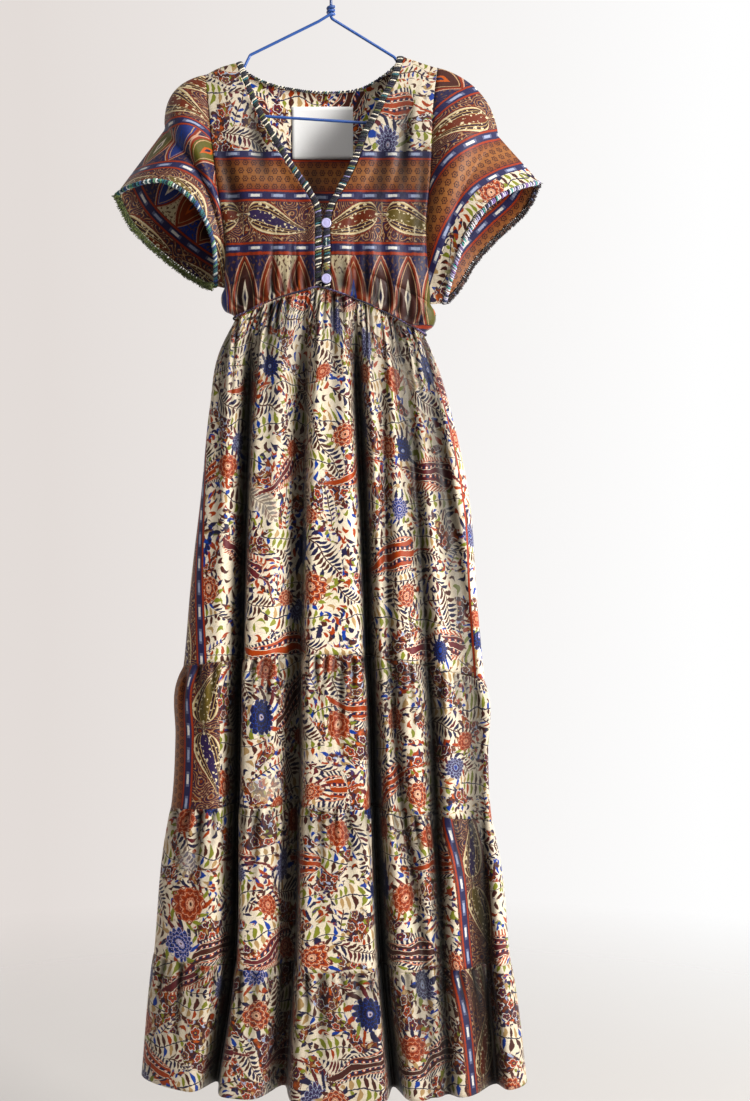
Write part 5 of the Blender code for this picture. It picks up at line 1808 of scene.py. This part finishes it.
path = wire_path()
across, outs = carried(path, (0, 1, 0))
points, faces = tube_parts(path, across, outs, WIRE, WIRE, WIRE_SIDES)
ends = [list(range(WIRE_SIDES))[::-1], list(range(len(points) - WIRE_SIDES, len(points)))]
if np.dot(np.cross(across[0], outs[0]), path[1] - path[0]) < 0:
    ends = [e[::-1] for e in ends]
wire, net, shade = plain_material("hanger_blue", BLUE, 0.34, 0.08, 5, 0.25)
high = (object_place(net)[2] * -1.0).under(DARK_DOWN_TO, DARK_TOP_FADE)
net.put(shade.inputs["Color"], net.mix(high, BLUE, DARK_TOP_BLUE))
piece = add("hanger_wire", points, faces.tolist() + ends, [wire])
place(piece, "hanger", "hanger_wire")

# Stage, light and camera

FLOOR_LEVEL = -1.78
FLOOR_REACH = 2.4
FLOOR_CLEAR = 0.9
FLOOR_SIDES = 96
turns = np.linspace(0, 2 * math.pi, FLOOR_SIDES + 1)[:-1]
rings = np.linspace(0.05, FLOOR_REACH, 12)
points = [(r * math.cos(a), r * math.sin(a), FLOOR_LEVEL) for r in rings for a in turns]
points.append((0, 0, FLOOR_LEVEL))
faces = grid_faces(len(rings), FLOOR_SIDES, True)[:, [0, 3, 2, 1]].tolist()
faces += [(len(points) - 1, k, (k + 1) % FLOOR_SIDES) for k in range(FLOOR_SIDES)]
floor_look, net, _ = plain_material("floor_pale", "cfccc9", 0.9, 0.01, 300, 0.0, 0.0001)
fx, fy, _ = object_place(net)
far = (fx * fx + fy * fy).sqrt()
fade = (FLOOR_REACH - 0.05 - far) * (1 / (FLOOR_REACH - FLOOR_CLEAR))
alpha = net.math("SMOOTH_MIN", net.most(fade, 0.0), 1.0, 0.3)
net.put(floor_look.node_tree.nodes["Principled BSDF"].inputs["Alpha"], alpha)
add("floor", np.array(points), faces, [floor_look])

# A dark room in front, near white to the right where a broad window is, and a pale backdrop
# behind. The backdrop is all that a camera sees, whichever way it looks
world = bpy.data.worlds.new("studio")
world.use_nodes = True
net = Net(world.node_tree)
wx, wy, _ = net.split(net.node("TexCoord").outputs["Generated"])
front_side = (wy + 0.1).under(0.0, 0.5)
window = net.math("POWER", net.most(wx, 0.0), 2.0)
wall = net.math("MULTIPLY", wx * 2.3 + 0.5, 1.0, clamp=True)
backdrop = net.mix(wall, "e3dcd8", "ffffff")
sky = net.mix(front_side, backdrop, net.mix(window, "3c3836", "fffdf8"))
seen = net.node("LightPath").outputs["Is Camera Ray"]
shader = world.node_tree.nodes["Background"]
net.put(shader.inputs["Color"], net.mix(seen, sky, backdrop))
shader.inputs["Strength"].default_value = 1.0
bpy.context.scene.world = world


def area_light(name, at, toward, size, power, colour):
    """A soft light that isn't seen itself, turned toward a place."""
    data = bpy.data.lights.new(name, "AREA")
    data.shape = "RECTANGLE"
    data.size, data.size_y = size
    data.energy = power
    data.color = colour
    lamp = bpy.data.objects.new(name, data)
    bpy.context.scene.collection.objects.link(lamp)
    lamp.location = at
    lamp.rotation_mode = "QUATERNION"
    lamp.rotation_quaternion = Vector(np.array(at) - np.array(toward)).to_track_quat("Z", "Y")
    lamp.visible_camera = False


area_light("window", (2.4, -1.9, 0.1), (0.0, 0.0, -0.75), (0.9, 2.0), 150, (1.0, 0.985, 0.96))
area_light("above", (0.15, -1.3, 0.95), (0.0, 0.0, -0.3), (0.5, 0.5), 9, (1.0, 0.99, 0.98))
area_light("behind", (1.2, 2.8, 0.8), (0.0, 0.0, -0.8), (2.0, 2.0), 30, (1.0, 0.99, 0.97))

camera = bpy.data.cameras.new("camera")
camera.sensor_width = LONG_SIDE
camera.lens = LONG_SIDE * -EYE[1] / SHOWN_HEIGHT
camera.clip_end = 200
eye = bpy.data.objects.new("camera", camera)
bpy.context.scene.collection.objects.link(eye)
eye.location = EYE
eye.rotation_euler = (math.pi / 2, 0, 0)
bpy.context.scene.camera = eye
bpy.context.scene.view_settings.view_transform = "Standard"
